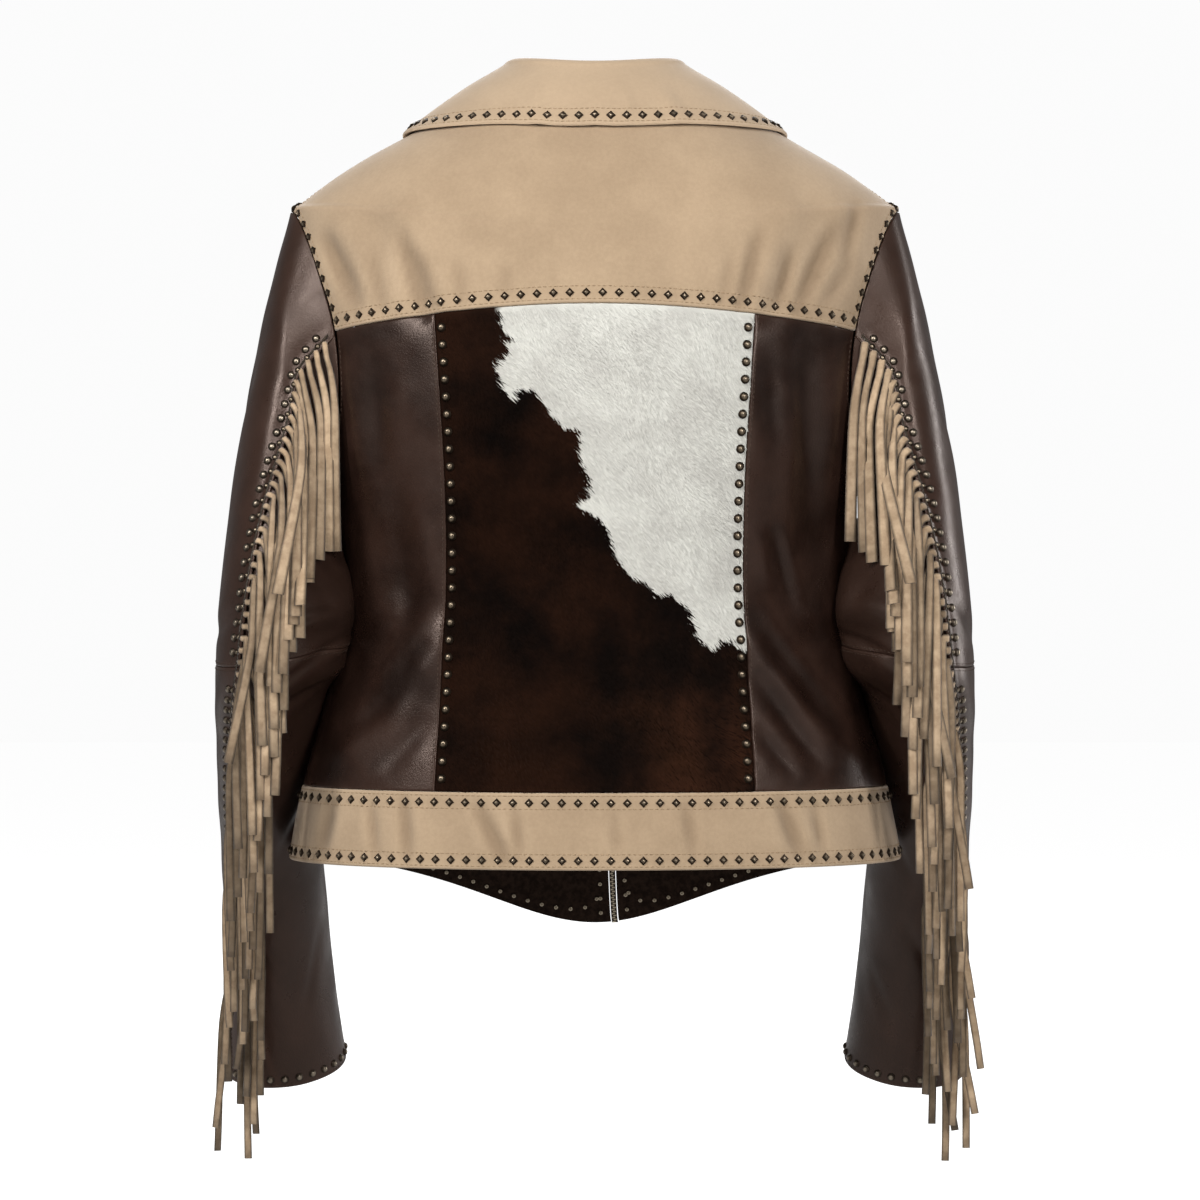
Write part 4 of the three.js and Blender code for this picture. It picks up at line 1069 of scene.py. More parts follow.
def ring_points(turn):
    """Every row's points at these turns: the armhole's loop, then ovals that lean with the arm."""
    table = np.array(SLEEVE_ROWS, float)
    outer, inner = table[:, [0, 1]], table[:, [2, 3]]
    middle = (outer + inner) / 2
    centre = np.stack([middle[:, 0], table[:, 4], middle[:, 1]], -1)
    ends = np.clip(np.arange(len(table))[:, None] + [-1, 1], 0, CUFF_ROW)
    along = centre[ends[:, 1]] - centre[ends[:, 0]]
    along = unit(along)
    back = unit(np.array([0, 1, 0]) - along * (along[:, 1] * table[:, 7])[:, None])
    half = (outer - inner) / 2
    out = np.stack([half[:, 0], np.zeros(len(table)), half[:, 1]], -1)
    rings = (
        centre[:, None]
        - out[:, None] * np.cos(turn)[None, :, None]
        + back[:, None] * (table[:, 5, None] * np.sin(turn)[None])[..., None]
    )
    place = armhole(turn / DEGREE % 360)
    loop, way = body_face(place[..., 0], place[..., 1])
    rings[0] = loop + SLEEVE_PROUD * way
    return rings


def sleeve_point(turn, t):
    """The left sleeve's points at a turn and a row: its rings, blended between rows."""
    turn, t = np.broadcast_arrays(np.asarray(turn, float), np.asarray(t, float))
    flat = between(ring_points(turn.ravel()), t.ravel())
    return flat.reshape(turn.shape + (3,))


def sleeve_face(turn, t, wrinkles=()):
    """The left sleeve's points and ways out, with its folds and a side's own creases."""
    way = outward(sleeve_point, turn, t, 0.01, 0.01)
    height = np.zeros(np.shape(turn))
    for row, at, turns, rows, high in SLEEVE_FOLDS:
        off = (turn / DEGREE - at + 540) % 360 - 180
        height = height + high * np.exp(-((off / turns) ** 2) - ((t - row) / rows) ** 2)
    if len(wrinkles):
        scale = [MM_OF_DEGREE, MM_OF_ROW, MM_OF_DEGREE, MM_OF_ROW, 1, 1]
        a = ((turn / DEGREE + 150) % 360 - 150) * MM_OF_DEGREE
        height = height + creases(a, t * MM_OF_ROW, np.array(wrinkles) * scale)
        height = height + 0.4 * ripple(a, t * MM_OF_ROW, 55, 9)
    return sleeve_point(turn, t) + way * height[..., None], way


def back_seam(t):
    """The back seam's turn at a row, and the sleeve's half depth there."""
    values = in_table(SLEEVE_ROWS, t)
    return (values[:, 6] * DEGREE).reshape(np.shape(t)), values[:, 5].reshape(np.shape(t))


def sleeve_piece_face(top, ends, side_name):
    """A sleeve piece's face: u goes round from seam to seam and v down the arm."""
    def face(u, v):
        t = ends[0] + (ends[1] - ends[0]) * v
        seam, half_depth = back_seam(t)
        gap = SEAM / 2 / half_depth
        if top:
            start, end = seam + gap - LAP_WIDTH / half_depth, (FRONT_SEAM_TURN + 360) * DEGREE - gap
        else:
            start, end = FRONT_SEAM_TURN * DEGREE + gap, seam - gap
        turn = start + (end - start) * u
        points, ways = sleeve_face(turn, t, SLEEVE_CREASES[side_name])
        if top:
            run = np.clip((turn - start) * half_depth / LAP_RUN, 0, 1)
            fringed = np.clip(np.minimum(t, LAP_LAST_ROW - t) / LAP_FADE, 0, 1)
            lap = LAP_HEIGHT * fringed * (1 - run * run * (3 - 2 * run))
            points = points + ways * lap[..., None]
        return points, ways
    return face


SLEEVE_PIECES = [  # name, whether it is a top piece, and its rows
    ("under_upper", False, (ARMHOLE_START, ELBOW_SEAM_ROW - ELBOW_GAP)),
    ("top_upper", True, (ARMHOLE_START, ELBOW_SEAM_ROW - ELBOW_GAP)),
    ("under_lower", False, (ELBOW_SEAM_ROW + ELBOW_GAP, CUFF_ROW)),
    ("top_lower", True, (ELBOW_SEAM_ROW + ELBOW_GAP, CUFF_ROW)),
]
for name, side in SIDES:
    for piece, top, ends in SLEEVE_PIECES:
        sleeve_grid = mirrored(grid_of(sleeve_piece_face(top, ends, name)), side)
        leather_piece(f"sleeve_{piece}_{name}", sleeve_grid)

# Collar: tan suede, an upright stand round the neck and a leaf rolled over its top.
# The leaf is a double layer, turned and stitched near its edge, and lies on the shoulders.
COLLAR_RINGS = [  # the same columns as the body's rows
    [68.2, 56.2, 64, 6.5, -10, -82, 2],  # stand's foot
    [62, 50.5, 59.5, 16, 4, -70.5, 2],
    [56, 45.5, 55, 22.4, 15.4, -61, 2],  # stand's top
    [54.6, 44.1, 53.6, 24.4, 17.4, -57.4, 2],  # leaf's start
    [56.8, 46.6, 56, 27.2, 20.4, -55, 2],  # top of the roll
    [60.5, 50, 59.5, 26, 18.6, -56.5, 2],
    [63.5, 53, 62.5, 23.4, 14.5, -60, 2],  # outside of the roll
]
STAND_END = 176 * DEGREE
FOLD_END = 172 * DEGREE
LEAF_EDGE_END = 150 * DEGREE
COLLAR_STEP = 2.0  # size of its grid's squares
LEAF_HEIGHT = 4.4
LEAF_THICKNESS = 2.4
LEAF_BULGE = 2.4
LEAF_UP = 60.0  # how steeply the bulge points up, in mm beside the roll's own radius
LEAF_CREASE_ROW = 2.5  # creases start at this row, past the roll, and grow over so many rows
LEAF_CREASE_FADE = 1.5
LEAF_EDGE_ROWS = [[11.38], [11.26], [10.97], [10.75], [10.4]]
LEAF_CREASES = [
    [50, -6, 32, -34, 7, 1.3], [41, 2, 36, -18, 5, 0.9], [-44, 0, -60, -24, 7, 1.1],
    [-20, 2, -24, -26, 6, 0.7], [88, -38, 72, -52, 6, 0.8], [-86, -36, -100, -56, 6, 0.9],
]


def collar_ring(k, angle):
    """One of the collar's ovals at these angles."""
    return oval(np.array([COLLAR_RINGS[k]], float), angle.ravel()).reshape(angle.shape + (3,))


def leaf_point(share, v):
    """The leaf from its start over the roll to its edge: share runs from side to side over the
    back. Past the roll it falls in a low bulge to an edge that rests on the shoulders."""
    share, v = np.broadcast_arrays(np.asarray(share, float), np.asarray(v, float))
    rolled = [collar_ring(k, share * FOLD_END) for k in (3, 4, 5, 6)]
    rows = in_table(LEAF_EDGE_ROWS, abs(share) * (len(LEAF_EDGE_ROWS) - 1))[:, 0]
    edge, way = body_face(share * LEAF_EDGE_END, rows.reshape(share.shape))
    edge = edge + LEAF_HEIGHT * way
    outside = rolled[3]
    lift = np.concatenate([outside[..., :2], np.full(share.shape + (1,), LEAF_UP)], -1)
    lift = LEAF_BULGE * unit(lift)
    falling = [outside + (edge - outside) * part + lift for part in (1 / 3, 2 / 3)]
    sections = np.stack([*rolled, *falling, edge]).reshape(7, -1, 3)
    return between(sections, v.ravel()).reshape(share.shape + (3,))


def stand_point(share, v):
    """The stand's points: its three ovals from foot to top, blended."""
    share, v = np.broadcast_arrays(np.asarray(share, float), np.asarray(v, float))
    rings = np.stack([collar_ring(k, share * STAND_END) for k in (0, 1, 2)]).reshape(3, -1, 3)
    return between(rings, v.ravel()).reshape(share.shape + (3,))


def collar_face(point_at, height, wrinkles, turned):
    """A collar piece's face: u goes round the neck and v from foot to edge.

    The leaf runs down on the outside, so its slopes' cross product is turned the other way
    than the stand's: turned is 1 or -1.
    """
    def face(u, v):
        share, row = 1 - 2 * u, height * v
        way = turned * outward(point_at, share, row, 0.002, 0.02)
        points = point_at(share, row)
        fade = np.clip((row - LEAF_CREASE_ROW) / LEAF_CREASE_FADE, 0, 1)
        bend = creases(points[..., 0], points[..., 2], wrinkles) * fade
        return points + way * bend[..., None], way
    return face


stand_face = collar_face(stand_point, 2, (), -1)
leaf_face = collar_face(leaf_point, 6, LEAF_CREASES, 1)
for node, face, thickness in (
    ("collar_stand", stand_face, LEATHER),
    ("collar_leaf", leaf_face, LEAF_THICKNESS),
):
    collar_grid = grid_of(face, COLLAR_STEP)
    roll = thickness / 2
    collar = shell(f"{node}_suede", collar_grid, 0.0, -thickness, tan_suede, None, roll, roll)
    sewn_piece(collar, node, "tan_suede", collar_grid)

# Fringe: a tan suede strip along each sleeve's back seam, cut into hanging strands.
# A strand leaves the seam towards the body, bends down and hangs, piled on the ones below.
STRANDS = 65
STRAND_LENGTH = 128
ROOT_WIDTHS = {"left": 4.2, "right": 5.6}  # where a strand is drawn together at the seam
STRAND_THICKNESS = 1.0
LOOP = [[3.2, 4.0], [7.2, 3.4]]  # a strand's way over its bend: reach from the seam and height
STRAND_DROPS = [8, 40, STRAND_LENGTH]
ROOT_HEIGHT = 1.7  # of a strand's middle line above the sleeve
LOOP_UNEVEN = 0.8  # between the highest and the lowest loop
STRAND_UNEVEN = (0.95, 0.08)  # the shortest strand's share of its length, and what is added
STRAY_SHARE = 0.9  # strands above this share of the chance hang aside at their tips
STRAY_REACH = 14
PILE_BESIDE = 4.0  # hanging strands within this distance lie over each other
STRAND_SIDE = 2.2  # how far towards the sleeve a strand's edge reaches from its middle
STRAND_CUP = 0.5  # how much its middle stands out past its edges
SAMPLE_DROP = 4
SURFACE_CLEARANCE = 2.6
PILE_CLEARANCE = 1.5
SHINGLE = 2.0  # strands in the upper part lie over each other's edges, tilted, from this far
TILT = -0.62  # of a strand near its root, the seam's side up
STRIP_WIDTH = 4
STRIP_HEIGHTS = (2.3, 1.1)
FRINGE_START = 0.14
FRINGE_END = 11.5
SIDEWAYS_ROWS = [  # nearest and farthest that a strand hangs from the seam, its tilt and width
    [8, 9.5, 1, 8.4], [8, 10, 1, 8.4], [8, 11, 1, 8.2], [6.5, 14, 1, 8], [4, 18, 0.8, 7.4],
    [1, 21, 0.5, 6.8], [-1, 22, 0.3, 6.2], [-1, 22, 0.2, 5.8], [-2, 21, 0.2, 5.4],
    [-3, 21, 0.1, 5.4], [-5, 22, 0, 5.4], [-6, 24, 0, 5.4], [-6, 25, 0, 5.4],
]
STRAND_STOPS = np.concatenate([np.linspace(0, 3, 13), np.linspace(3.2, 5, 11)])
STRAND_RING = np.array([  # a section's corners: across the strand and through it, as shares
    [-1, -0.35], [-0.5, -1], [0.5, -1], [1, -0.35], [1, 0.35], [0.5, 1], [-0.5, 1], [-1, 0.35],
])
STRAND_EDGE_SHADE = [0.1, 1, 1, 0.1, 0.1, 1, 1, 0.1]  # of those corners: painted shade, darker at the cut edges, for dark gaps between the strands


def uneven(k, seed):
    """A number from 0 to 1 for each strand that looks unordered: the rest of a large sine."""
    return abs(math.sin(12.9898 * (k + 1) + 78.233 * seed) * 43758.5453) % 1


def fringe_rows(count):
    """The sleeve's rows that divide the fringe's seam into equal lengths, from its middles."""
    rows = np.linspace(FRINGE_START, FRINGE_END, 241)
    lengths = run_lengths(sleeve_point(back_seam(rows)[0], rows)[None], 1)[0]
    return np.interp(lengths[-1] * (np.arange(count) + 0.5) / count, lengths, rows)


def sleeve_back(x, z):
    """How far back the sleeve reaches at places seen from behind, found by halving its rows."""
    low, high = np.zeros_like(x), np.full_like(x, float(CUFF_ROW))
    for _ in range(14):
        t = (low + high) / 2
        outer, inner = in_table(SLEEVE_ROWS, t)[:, [0, 2]].T
        cosine = np.clip((outer + inner - 2 * x) / (outer - inner), -0.97, 0.97)
        point = sleeve_point(np.arccos(cosine), t)
        above = point[:, 2] > z
        low, high = np.where(above, t, low), np.where(above, high, t)
    return point[:, 1]


def strand_line(k, t, seed, below):
    """A strand's middle line: its root, its loop and its hanging stops, its tilt and width.

    It hangs clear of the sleeve and of the strands below, which it lies on where they meet.
    """
    at = np.array([t])
    seam, half_depth = back_seam(at)
    root, root_way = (r[0] for r in sleeve_face(seam, at))
    start = root + ROOT_HEIGHT * root_way
    loop = []
    for reach, high in LOOP:
        point, way = (r[0] for r in sleeve_face(seam - reach / half_depth, at))
        loop.append(point + (high + LOOP_UNEVEN * (uneven(k, seed + 2) - 0.5)) * way)
    crest, bend = loop
    nearest, farthest, tilt, width = in_table(SIDEWAYS_ROWS, t)[0]
    jitter = (3.6 - 2.6 * tilt) * (uneven(k, seed + 9) - 0.5)
    hang_x = root[0] - nearest - (k * 3) % 7 / 6 * (farthest - nearest) - jitter
    stray = STRAY_REACH if uneven(k, seed + 3) > STRAY_SHARE else 0
    tip_x = hang_x + (uneven(k, seed) - 0.5) * (9 - 5 * tilt) + stray
    longer = STRAND_UNEVEN[0] + STRAND_UNEVEN[1] * uneven(k, seed + 1)
    bend_drop, *lower_drops = STRAND_DROPS
    stops = np.array([0.0, bend_drop] + [drop * longer for drop in lower_drops])
    drop = np.arange(0, stops[3] + 1e-9, SAMPLE_DROP)

    def x_at(drop):
        near = np.clip(drop / stops[2], 0, 1) ** 0.7
        far = np.clip(drop - stops[2], 0, None) / (stops[3] - stops[2])
        return bend[0] + (hang_x - bend[0]) * near + (tip_x - hang_x) * far

    x, z = x_at(drop), bend[2] - drop
    need = np.full_like(x, bend[1])
    over_sleeve = z > SLEEVE_ROWS[CUFF_ROW][1]
    behind = sleeve_back(x + STRAND_SIDE, z) + SURFACE_CLEARANCE
    need = np.where(over_sleeve, np.maximum(need, behind), need)
    lies_on = SHINGLE * tilt + PILE_BESIDE * (1 - tilt)
    for other in below:
        beside = (z <= other[2, 2] + 2) & (z >= other[-1, 2])
        other_x, other_y = (np.interp(-z, -other[:, 2], other[:, axis]) for axis in (0, 1))
        beside &= abs(other_x - x) < lies_on
        need = np.where(beside, np.maximum(need, other_y + PILE_CLEARANCE), need)
    heights = np.array([need[abs(drop - stop) <= SAMPLE_DROP].max() for stop in stops])
    heights[0] = bend[1]
    for _ in range(4):
        for one_drop, one_need in zip(drop, need):
            i = max(int(np.argmax(stops >= one_drop)), 1)
            f = (one_drop - stops[i - 1]) / (stops[i] - stops[i - 1])
            short = one_need - heights[i - 1] * (1 - f) - heights[i] * f
            if short > 0:
                heights[i] += short
                if i > 1:
                    heights[i - 1] += short * (1 - f)
    hanging = np.stack([x_at(stops), heights, bend[2] - stops], -1)
    return np.concatenate([[start, crest], hanging]), root_way, tilt, width


def strand_mesh(line, root_way, root_width, width, twist, curl, sway):
    """A strand: a flat rounded strip of eight-sided sections along its smoothed line.

    It turns about its own length by twist and, towards the tip, by curl, and sways sideways.
    """
    middle = between(line[:, None, :], STRAND_STOPS)
    fall = np.clip((STRAND_STOPS - 2.2) / 2.8, 0, 1)
    middle[:, 0] += sway * np.sin(fall * 5.5) * fall
    along = unit(np.gradient(middle, axis=0))
    turn = twist * (1 - 0.8 * fall) + curl * fall**2
    hang_way = np.stack([np.sin(turn), np.cos(turn), np.zeros_like(turn)], -1)
    share = np.clip((STRAND_STOPS - 0.8) / 2.2, 0, 1)[:, None]
    facing = root_way * (1 - share) + hang_way * share
    across = unit(np.cross(along, facing))
    out = np.cross(across, along)
    half = (root_width + (width - root_width) * fall**1.7)[:, None, None] / 2
    side, high = STRAND_RING[None, :, :1], STRAND_RING[None, :, 1:]
    cup = STRAND_CUP * (side**2 - 0.5) * (1 - 0.5 * fall[:, None, None])
    cupped = high * STRAND_THICKNESS / 2 - cup
    return middle[:, None] + across[:, None] * side * half + out[:, None] * cupped


FRINGE_DARK = (0.36, 0.25, 0.155)
FRINGE_LIGHT = (0.53, 0.385, 0.25)
STRAND_TONES_AND_SHADE = (0.1, 1.08)  # the suede's colour times this, from the darkest strand to the palest; the dark end also carries painted shade


def fringe_material():
    """The strands' suede: each a little paler or darker, with painted shade at each strand's edges
    and on the lower strands.
    """
    material, tree, shader, place = new_material(
        "fringe_suede", Roughness=0.9, Specular_IOR_Level=0.2, Sheen_Weight=0.2
    )
    nap = toned(tree, place, 120, FRINGE_DARK, FRINGE_LIGHT)["Color"]
    shade = ranged(tree, value_at(tree, "strand_tone_and_shade"), after=STRAND_TONES_AND_SHADE)
    feed(tree, shader.inputs["Base Color"], mixed(tree, 1.0, nap, shade, "MULTIPLY"))
    bumped(tree, shader, place, 1200, 2600, 0.00012)
    return material


def tube_faces(rows, corners):
    """The quads round a tube of rings, ring by ring."""
    j, i = np.meshgrid(np.arange(rows - 1), np.arange(corners), indexing="ij")
    a, b = j * corners + i, j * corners + (i + 1) % corners
    return np.stack([a, b, b + corners, a + corners], -1).reshape(-1, 4)


def fringe_faces():
    """The faces of all strands: each a tube of eight sides with three quads across each end."""
    sections, corners = len(STRAND_STOPS), len(STRAND_RING)
    end = np.array([[0, 3, 2, 1], [0, 7, 4, 3], [7, 6, 5, 4]])
    last = (sections - 1) * corners
    one = np.concatenate([tube_faces(sections, corners), end, last + end[:, ::-1]])
    first = np.arange(STRANDS)[:, None, None] * sections * corners
    return (one[None] + first).reshape(-1, 4)


def strip_face(wrinkles):
    """The strip's face: u goes across its visible part and v down the back seam."""
    def face(u, v):
        t = FRINGE_START + (FRINGE_END - FRINGE_START) * v
        seam, half_depth = back_seam(t)
        turn = seam + (0.1 + 0.4 * u) * STRIP_WIDTH / half_depth
        return sleeve_face(turn, t, wrinkles)
    return face


fringe_suede = fringe_material()
for name, side, seed in (("left", 1, 1), ("right", -1, 8)):
    rows = fringe_rows(STRANDS)
    lines, rings, tones = [], [], []
    for k in range(STRANDS - 1, -1, -1):
        line, root_way, tilt, width = strand_line(k, rows[k], seed, lines)
        lines.append(line)
        curl = (uneven(k, seed + 11) - 0.5) * 0.9
        twist = TILT * tilt + (uneven(k, seed + 5) - 0.5) * (1.5 - tilt)
        sway = (5 - 3 * tilt) * (uneven(k, seed + 7) - 0.5)
        rings.append(strand_mesh(line, root_way, ROOT_WIDTHS[name], width, twist, curl, sway))
        # Painted shade: strands lower in the bundle, with less tilt, run darker.
        tone = (0.12 + 0.48 * tilt) + (0.88 - 0.48 * tilt) * uneven(k, seed + 13)
        tones.append(tone * np.tile(STRAND_EDGE_SHADE, len(STRAND_STOPS)))
    points = np.concatenate(rings).reshape(-1, 3) * np.array([side, 1, 1])
    fringe = mesh_of(
        f"fringe_{name}_suede", points, facing_out(points, fringe_faces()).tolist()
    )
    attribute(fringe, "strand_tone_and_shade", np.concatenate(tones))
    fringe.data.materials.append(fringe_suede)
    on_jacket(fringe, "tan_suede", f"fringe_{name}")
    strip_grid = mirrored(grid_of(strip_face(SLEEVE_CREASES[name])), side)
    # The strip has no strand tone, so its suede takes the darkest strand tone: painted shade under
    # the top piece's lap.
    strip = shell(f"fringe_strip_{name}_suede", strip_grid, *STRIP_HEIGHTS, fringe_suede, roll=0.4)
    on_jacket(strip, "tan_suede")

# Studs: aged brass, pressed through the leather along the seams and edges.
# The suede has low four-sided studs, the leather and the hide have round domes.
STUD_PITCH = 10.8
CENTRE_PITCH = 11.6  # along the two long back seams
FRONT_PITCH = 10.5
SLEEVE_PITCH = 10.2
FRONT_INSET = 7
EDGE_SAMPLES = 500  # places worked out along an edge, between which studs and stitches are set
DOME_PROFILE = [[2.7, -0.2], [2.75, 0.35], [2.35, 0.6], [2.1, 1.2], [1.35, 1.85], [0.45, 2.15]]
SMALL_DOME_PROFILE = [[2.0, -0.2], [2.05, 0.3], [1.75, 0.5], [1.45, 1.0], [0.9, 1.4], [0.3, 1.6]]
PYRAMID_PROFILE = [[3.5, -0.2], [3.5, 0.55], [2.9, 0.8], [1.1, 1.85], [0.5, 1.95]]
BACK_PROFILE = [[1.7, -0.2], [1.7, 0.35], [1.2, 0.6], [0.6, 0.45]]


def along_edge(face, pitch, height, edge, inset, start=0.0, end=1.0):
    """Places at an even pitch along a face's edge, set in from it by inset, in mm.

    Gives their points, ways out and ways along; height lifts them off the face.
    """
    s = np.linspace(start, end, EDGE_SAMPLES)

    def at(inwards):
        inwards = np.broadcast_to(inwards, s.shape)
        u, v = {
            "bottom": (s, inwards), "top": (s, 1 - inwards),
            "left": (inwards, s), "right": (1 - inwards, s),
        }[edge]
        return face(u, v)

    small = 0.01
    rate = np.linalg.norm(at(small)[0] - at(0.0)[0], axis=-1) / small
    points, ways = at(np.clip(inset / rate, 0, 0.5))
    points = points + ways * height
    lengths = run_lengths(points[None], 1)[0]
    count = max(int(round(lengths[-1] / pitch)), 1)
    wanted = lengths[-1] * (np.arange(count) + 0.5) / count
    picked = [
        np.stack([np.interp(wanted, lengths, values[:, axis]) for axis in range(3)], -1)
        for values in (points, ways, np.gradient(points, axis=0))
    ]
    return picked[0], unit(picked[1]), unit(picked[2])


def turned_solid(profile, corners, turn=0.0):
    """A small solid of revolution with that many corners, closed by flat ends."""
    angle = np.arange(corners) * 2 * math.pi / corners + turn
    rings = [
        np.stack([r * np.cos(angle), r * np.sin(angle), np.full(corners, z)], -1)
        for r, z in profile
    ]
    foot = list(range(corners))[::-1]
    cap = [corners * (len(rings) - 1) + k for k in range(corners)]
    return np.concatenate(rings), tube_faces(len(rings), corners).tolist() + [foot, cap]


def set_in_rows(name, rows, solid, material, slot="old_brass", stretch=(1, 1, 1), smooth=True):
    """One mesh of a small solid repeated along rows of places, standing on each place's face."""
    points, ways, along = (np.concatenate(values) for values in zip(*rows))
    shape, faces = solid
    along = unit(along - ways * (along * ways).sum(-1, keepdims=True))
    aside = np.cross(ways, along)
    shape = shape * np.array(stretch)
    spread = (
        points[:, None]
        + along[:, None] * shape[None, :, :1]
        + aside[:, None] * shape[None, :, 1:2]
        + ways[:, None] * shape[None, :, 2:]
    )
    count = len(shape)
    everything = [
        [corner + count * k for corner in one] for k in range(len(points)) for one in faces
    ]
    thing = mesh_of(name, spread.reshape(-1, 3), everything, smooth)
    # Paler tops: partly rubbed brass, partly a painted highlight.
    rubbed = np.clip(shape[:, 2] / shape[:, 2].max(), 0, 1)
    attribute(thing, "rubbed", np.tile(rubbed, len(points)))
    thing.data.materials.append(material)
    on_jacket(thing, slot)


def brass_material(name, dark, bright):
    """Aged brass: tarnished in its hollows and bright on its tops, partly rubbed brass and partly a
    painted highlight.
    """
    material, tree, shader, place = new_material(name, Metallic=1.0)
    tarnish = toned(tree, place, 700, dark, tuple(1.6 * c for c in dark))["Color"]
    top = ranged(tree, value_at(tree, "rubbed"), (0.6, 1.0))
    feed(tree, shader.inputs["Base Color"], mixed(tree, top, tarnish, (*bright, 1)))
    feed(tree, shader.inputs["Roughness"], ranged(tree, top, after=(0.55, 0.28)))
    return material


dark_brass = brass_material("dark_brass", (0.028, 0.020, 0.014), (0.24, 0.19, 0.135))
old_brass = brass_material("old_brass", (0.075, 0.056, 0.040), (0.46, 0.39, 0.29))
dull_brass = brass_material("dull_brass", (0.042, 0.032, 0.024), (0.30, 0.25, 0.19))
pyramid = turned_solid(PYRAMID_PROFILE, 4)
dome = turned_solid(DOME_PROFILE, 12)
small_dome = turned_solid(SMALL_DOME_PROFILE, 10)
stud_back = turned_solid(BACK_PROFILE, 8)
for piece, face, height, stretch, rows in (
    ("yoke", yoke_face, RAISED, (0.86, 0.86, 1), (
        ("bottom", 7, 0.004, 0.996), ("left", 6, 0.06, 0.86), ("right", 6, 0.06, 0.86),
    )),
    ("waistband", waistband_face, RAISED, (0.86, 0.86, 1), (
        ("top", 7.2, 0.006, 0.994), ("bottom", 6.6, 0.006, 0.994),
    )),
    ("collar", leaf_face, 0.0, (0.92, 0.92, 0.9), (("top", 7, 0.01, 0.99),)),
):
    places = [along_edge(face, STUD_PITCH, height, *row) for row in rows]
    set_in_rows(f"{piece}_studs", places, pyramid, dark_brass, stretch=stretch, smooth=False)
centre_rows = [
    along_edge(centre_face, CENTRE_PITCH, 0.4, edge, 4.6, 0.01, 0.985) for edge in ("left", "right")
]
set_in_rows("back_seam_studs", centre_rows, dome, dark_brass, stretch=(1.14, 1.14, 1.2))
front_rows = [
    along_edge(front_face(side), FRONT_PITCH, 0.0, edge, FRONT_INSET, start, 0.985)
    for name, side in SIDES
    for edge, start in (("bottom", 0.03), ("left", 0.02))
]
set_in_rows("front_studs", front_rows, dome, old_brass)
front_backs = [(points - ways * LEATHER, -ways, along) for points, ways, along in front_rows]
set_in_rows("front_stud_backs", front_backs, stud_back, old_brass)
sleeve_rows, small_rows = [], []
for name, side in SIDES:
    for piece, top, ends in SLEEVE_PIECES:
        face = sleeve_piece_face(top, ends, name)
        if top:
            for rows, inset in ((sleeve_rows, 10.4), (small_rows, 4.6)):
                places = along_edge(face, SLEEVE_PITCH, 0.0, "left", inset, 0.04, 0.98)
                rows.append(flipped(places, side))
        if ends[1] == CUFF_ROW:
            sleeve_rows.append(flipped(along_edge(face, STUD_PITCH, 0.0, "top", 7), side))
set_in_rows("sleeve_studs", sleeve_rows, dome, dull_brass, stretch=(1.06, 1.06, 1))
set_in_rows("sleeve_small_studs", small_rows, small_dome, dark_brass)

# Stitching: waxed thread in even stitches along the edges and seams.
# Each stitch lies half sunk in the leather, its ends pulled in.
STITCH_PITCH = 3.6
STITCH_LENGTH = 2.7
STITCH_WIDTH = 0.62
STITCH_RINGS = [[-1.0, 0.25], [-0.6, 0.85], [0.0, 1.0], [0.6, 0.85], [1.0, 0.25]]


def stitch_solid():
    """One stitch: five rings of five corners along its length, thickest in its middle."""
    corners = 5
    angle = np.arange(corners) * 2 * math.pi / corners + math.pi / 2
    rings = [
        np.stack([
            np.full(corners, x * STITCH_LENGTH / 2),
            size * STITCH_WIDTH / 2 * np.cos(angle),
            size * STITCH_WIDTH / 2 * np.sin(angle) + 0.05 * size,
        ], -1)
        for x, size in STITCH_RINGS
    ]
    sides = tube_faces(len(rings), corners)[:, [0, 3, 2, 1]].tolist()
    foot = list(range(corners))
    end = [corners * len(rings) - 1 - k for k in range(corners)]
    return np.concatenate(rings), sides + [foot, end]


tan_thread = clouded_material(
    "tan_thread", 1500, (0.24, 0.16, 0.09), (0.42, 0.30, 0.18), Roughness=0.75,
    Specular_IOR_Level=0.3
)
brown_thread = clouded_material(
    "brown_thread", 1500, (0.03, 0.018, 0.012), (0.075, 0.045, 0.03), Roughness=0.75,
    Specular_IOR_Level=0.3
)
stitch = stitch_solid()


def stitched(face, side, *rows, height=0.0):
    """Places of the stitches along a face's edges: a row is an edge, its inset, start and end."""
    return [flipped(along_edge(face, STITCH_PITCH, height, *row), side) for row in rows]


suede_lines = [
    *stitched(
        yoke_face, 1, ("bottom", 2.6, 0.001, 0.999), ("bottom", 11.6, 0.004, 0.996),
        ("left", 2.4, 0.01, 0.99), ("right", 2.4, 0.01, 0.99), height=RAISED
    ),
    *stitched(
        waistband_face, 1, ("top", 2.4), ("top", 11.8), ("bottom", 2.4), ("bottom", 11.2),
        height=RAISED
    ),
    *stitched(leaf_face, 1, ("top", 2.6, 0.005, 0.995), ("top", 12.2, 0.01, 0.99)),
]
set_in_rows("suede_stitches", suede_lines, stitch, tan_thread, "tan_suede")
leather_lines = []
for name, side in SIDES:
    leather_lines += stitched(side_back_face(side), side, ("left", 2.4), ("right", 2.6, 0.0, 0.98))
    leather_lines += stitched(
        front_face(side), 1, ("left", 2.4, 0.01, 0.99), ("bottom", 2.4, 0.01, 0.99),
        ("right", 2.6, 0.01, 0.99)
    )
    for piece, top, ends in SLEEVE_PIECES:
        rows = [("top" if ends[0] < 1 else "bottom", 2.4)]
        if ends[1] == CUFF_ROW:
            rows.append(("top", 2.4))
        if top:
            rows += [("left", 1.9), ("right", 2.2)]
        leather_lines += stitched(sleeve_piece_face(top, ends, name), side, *rows)
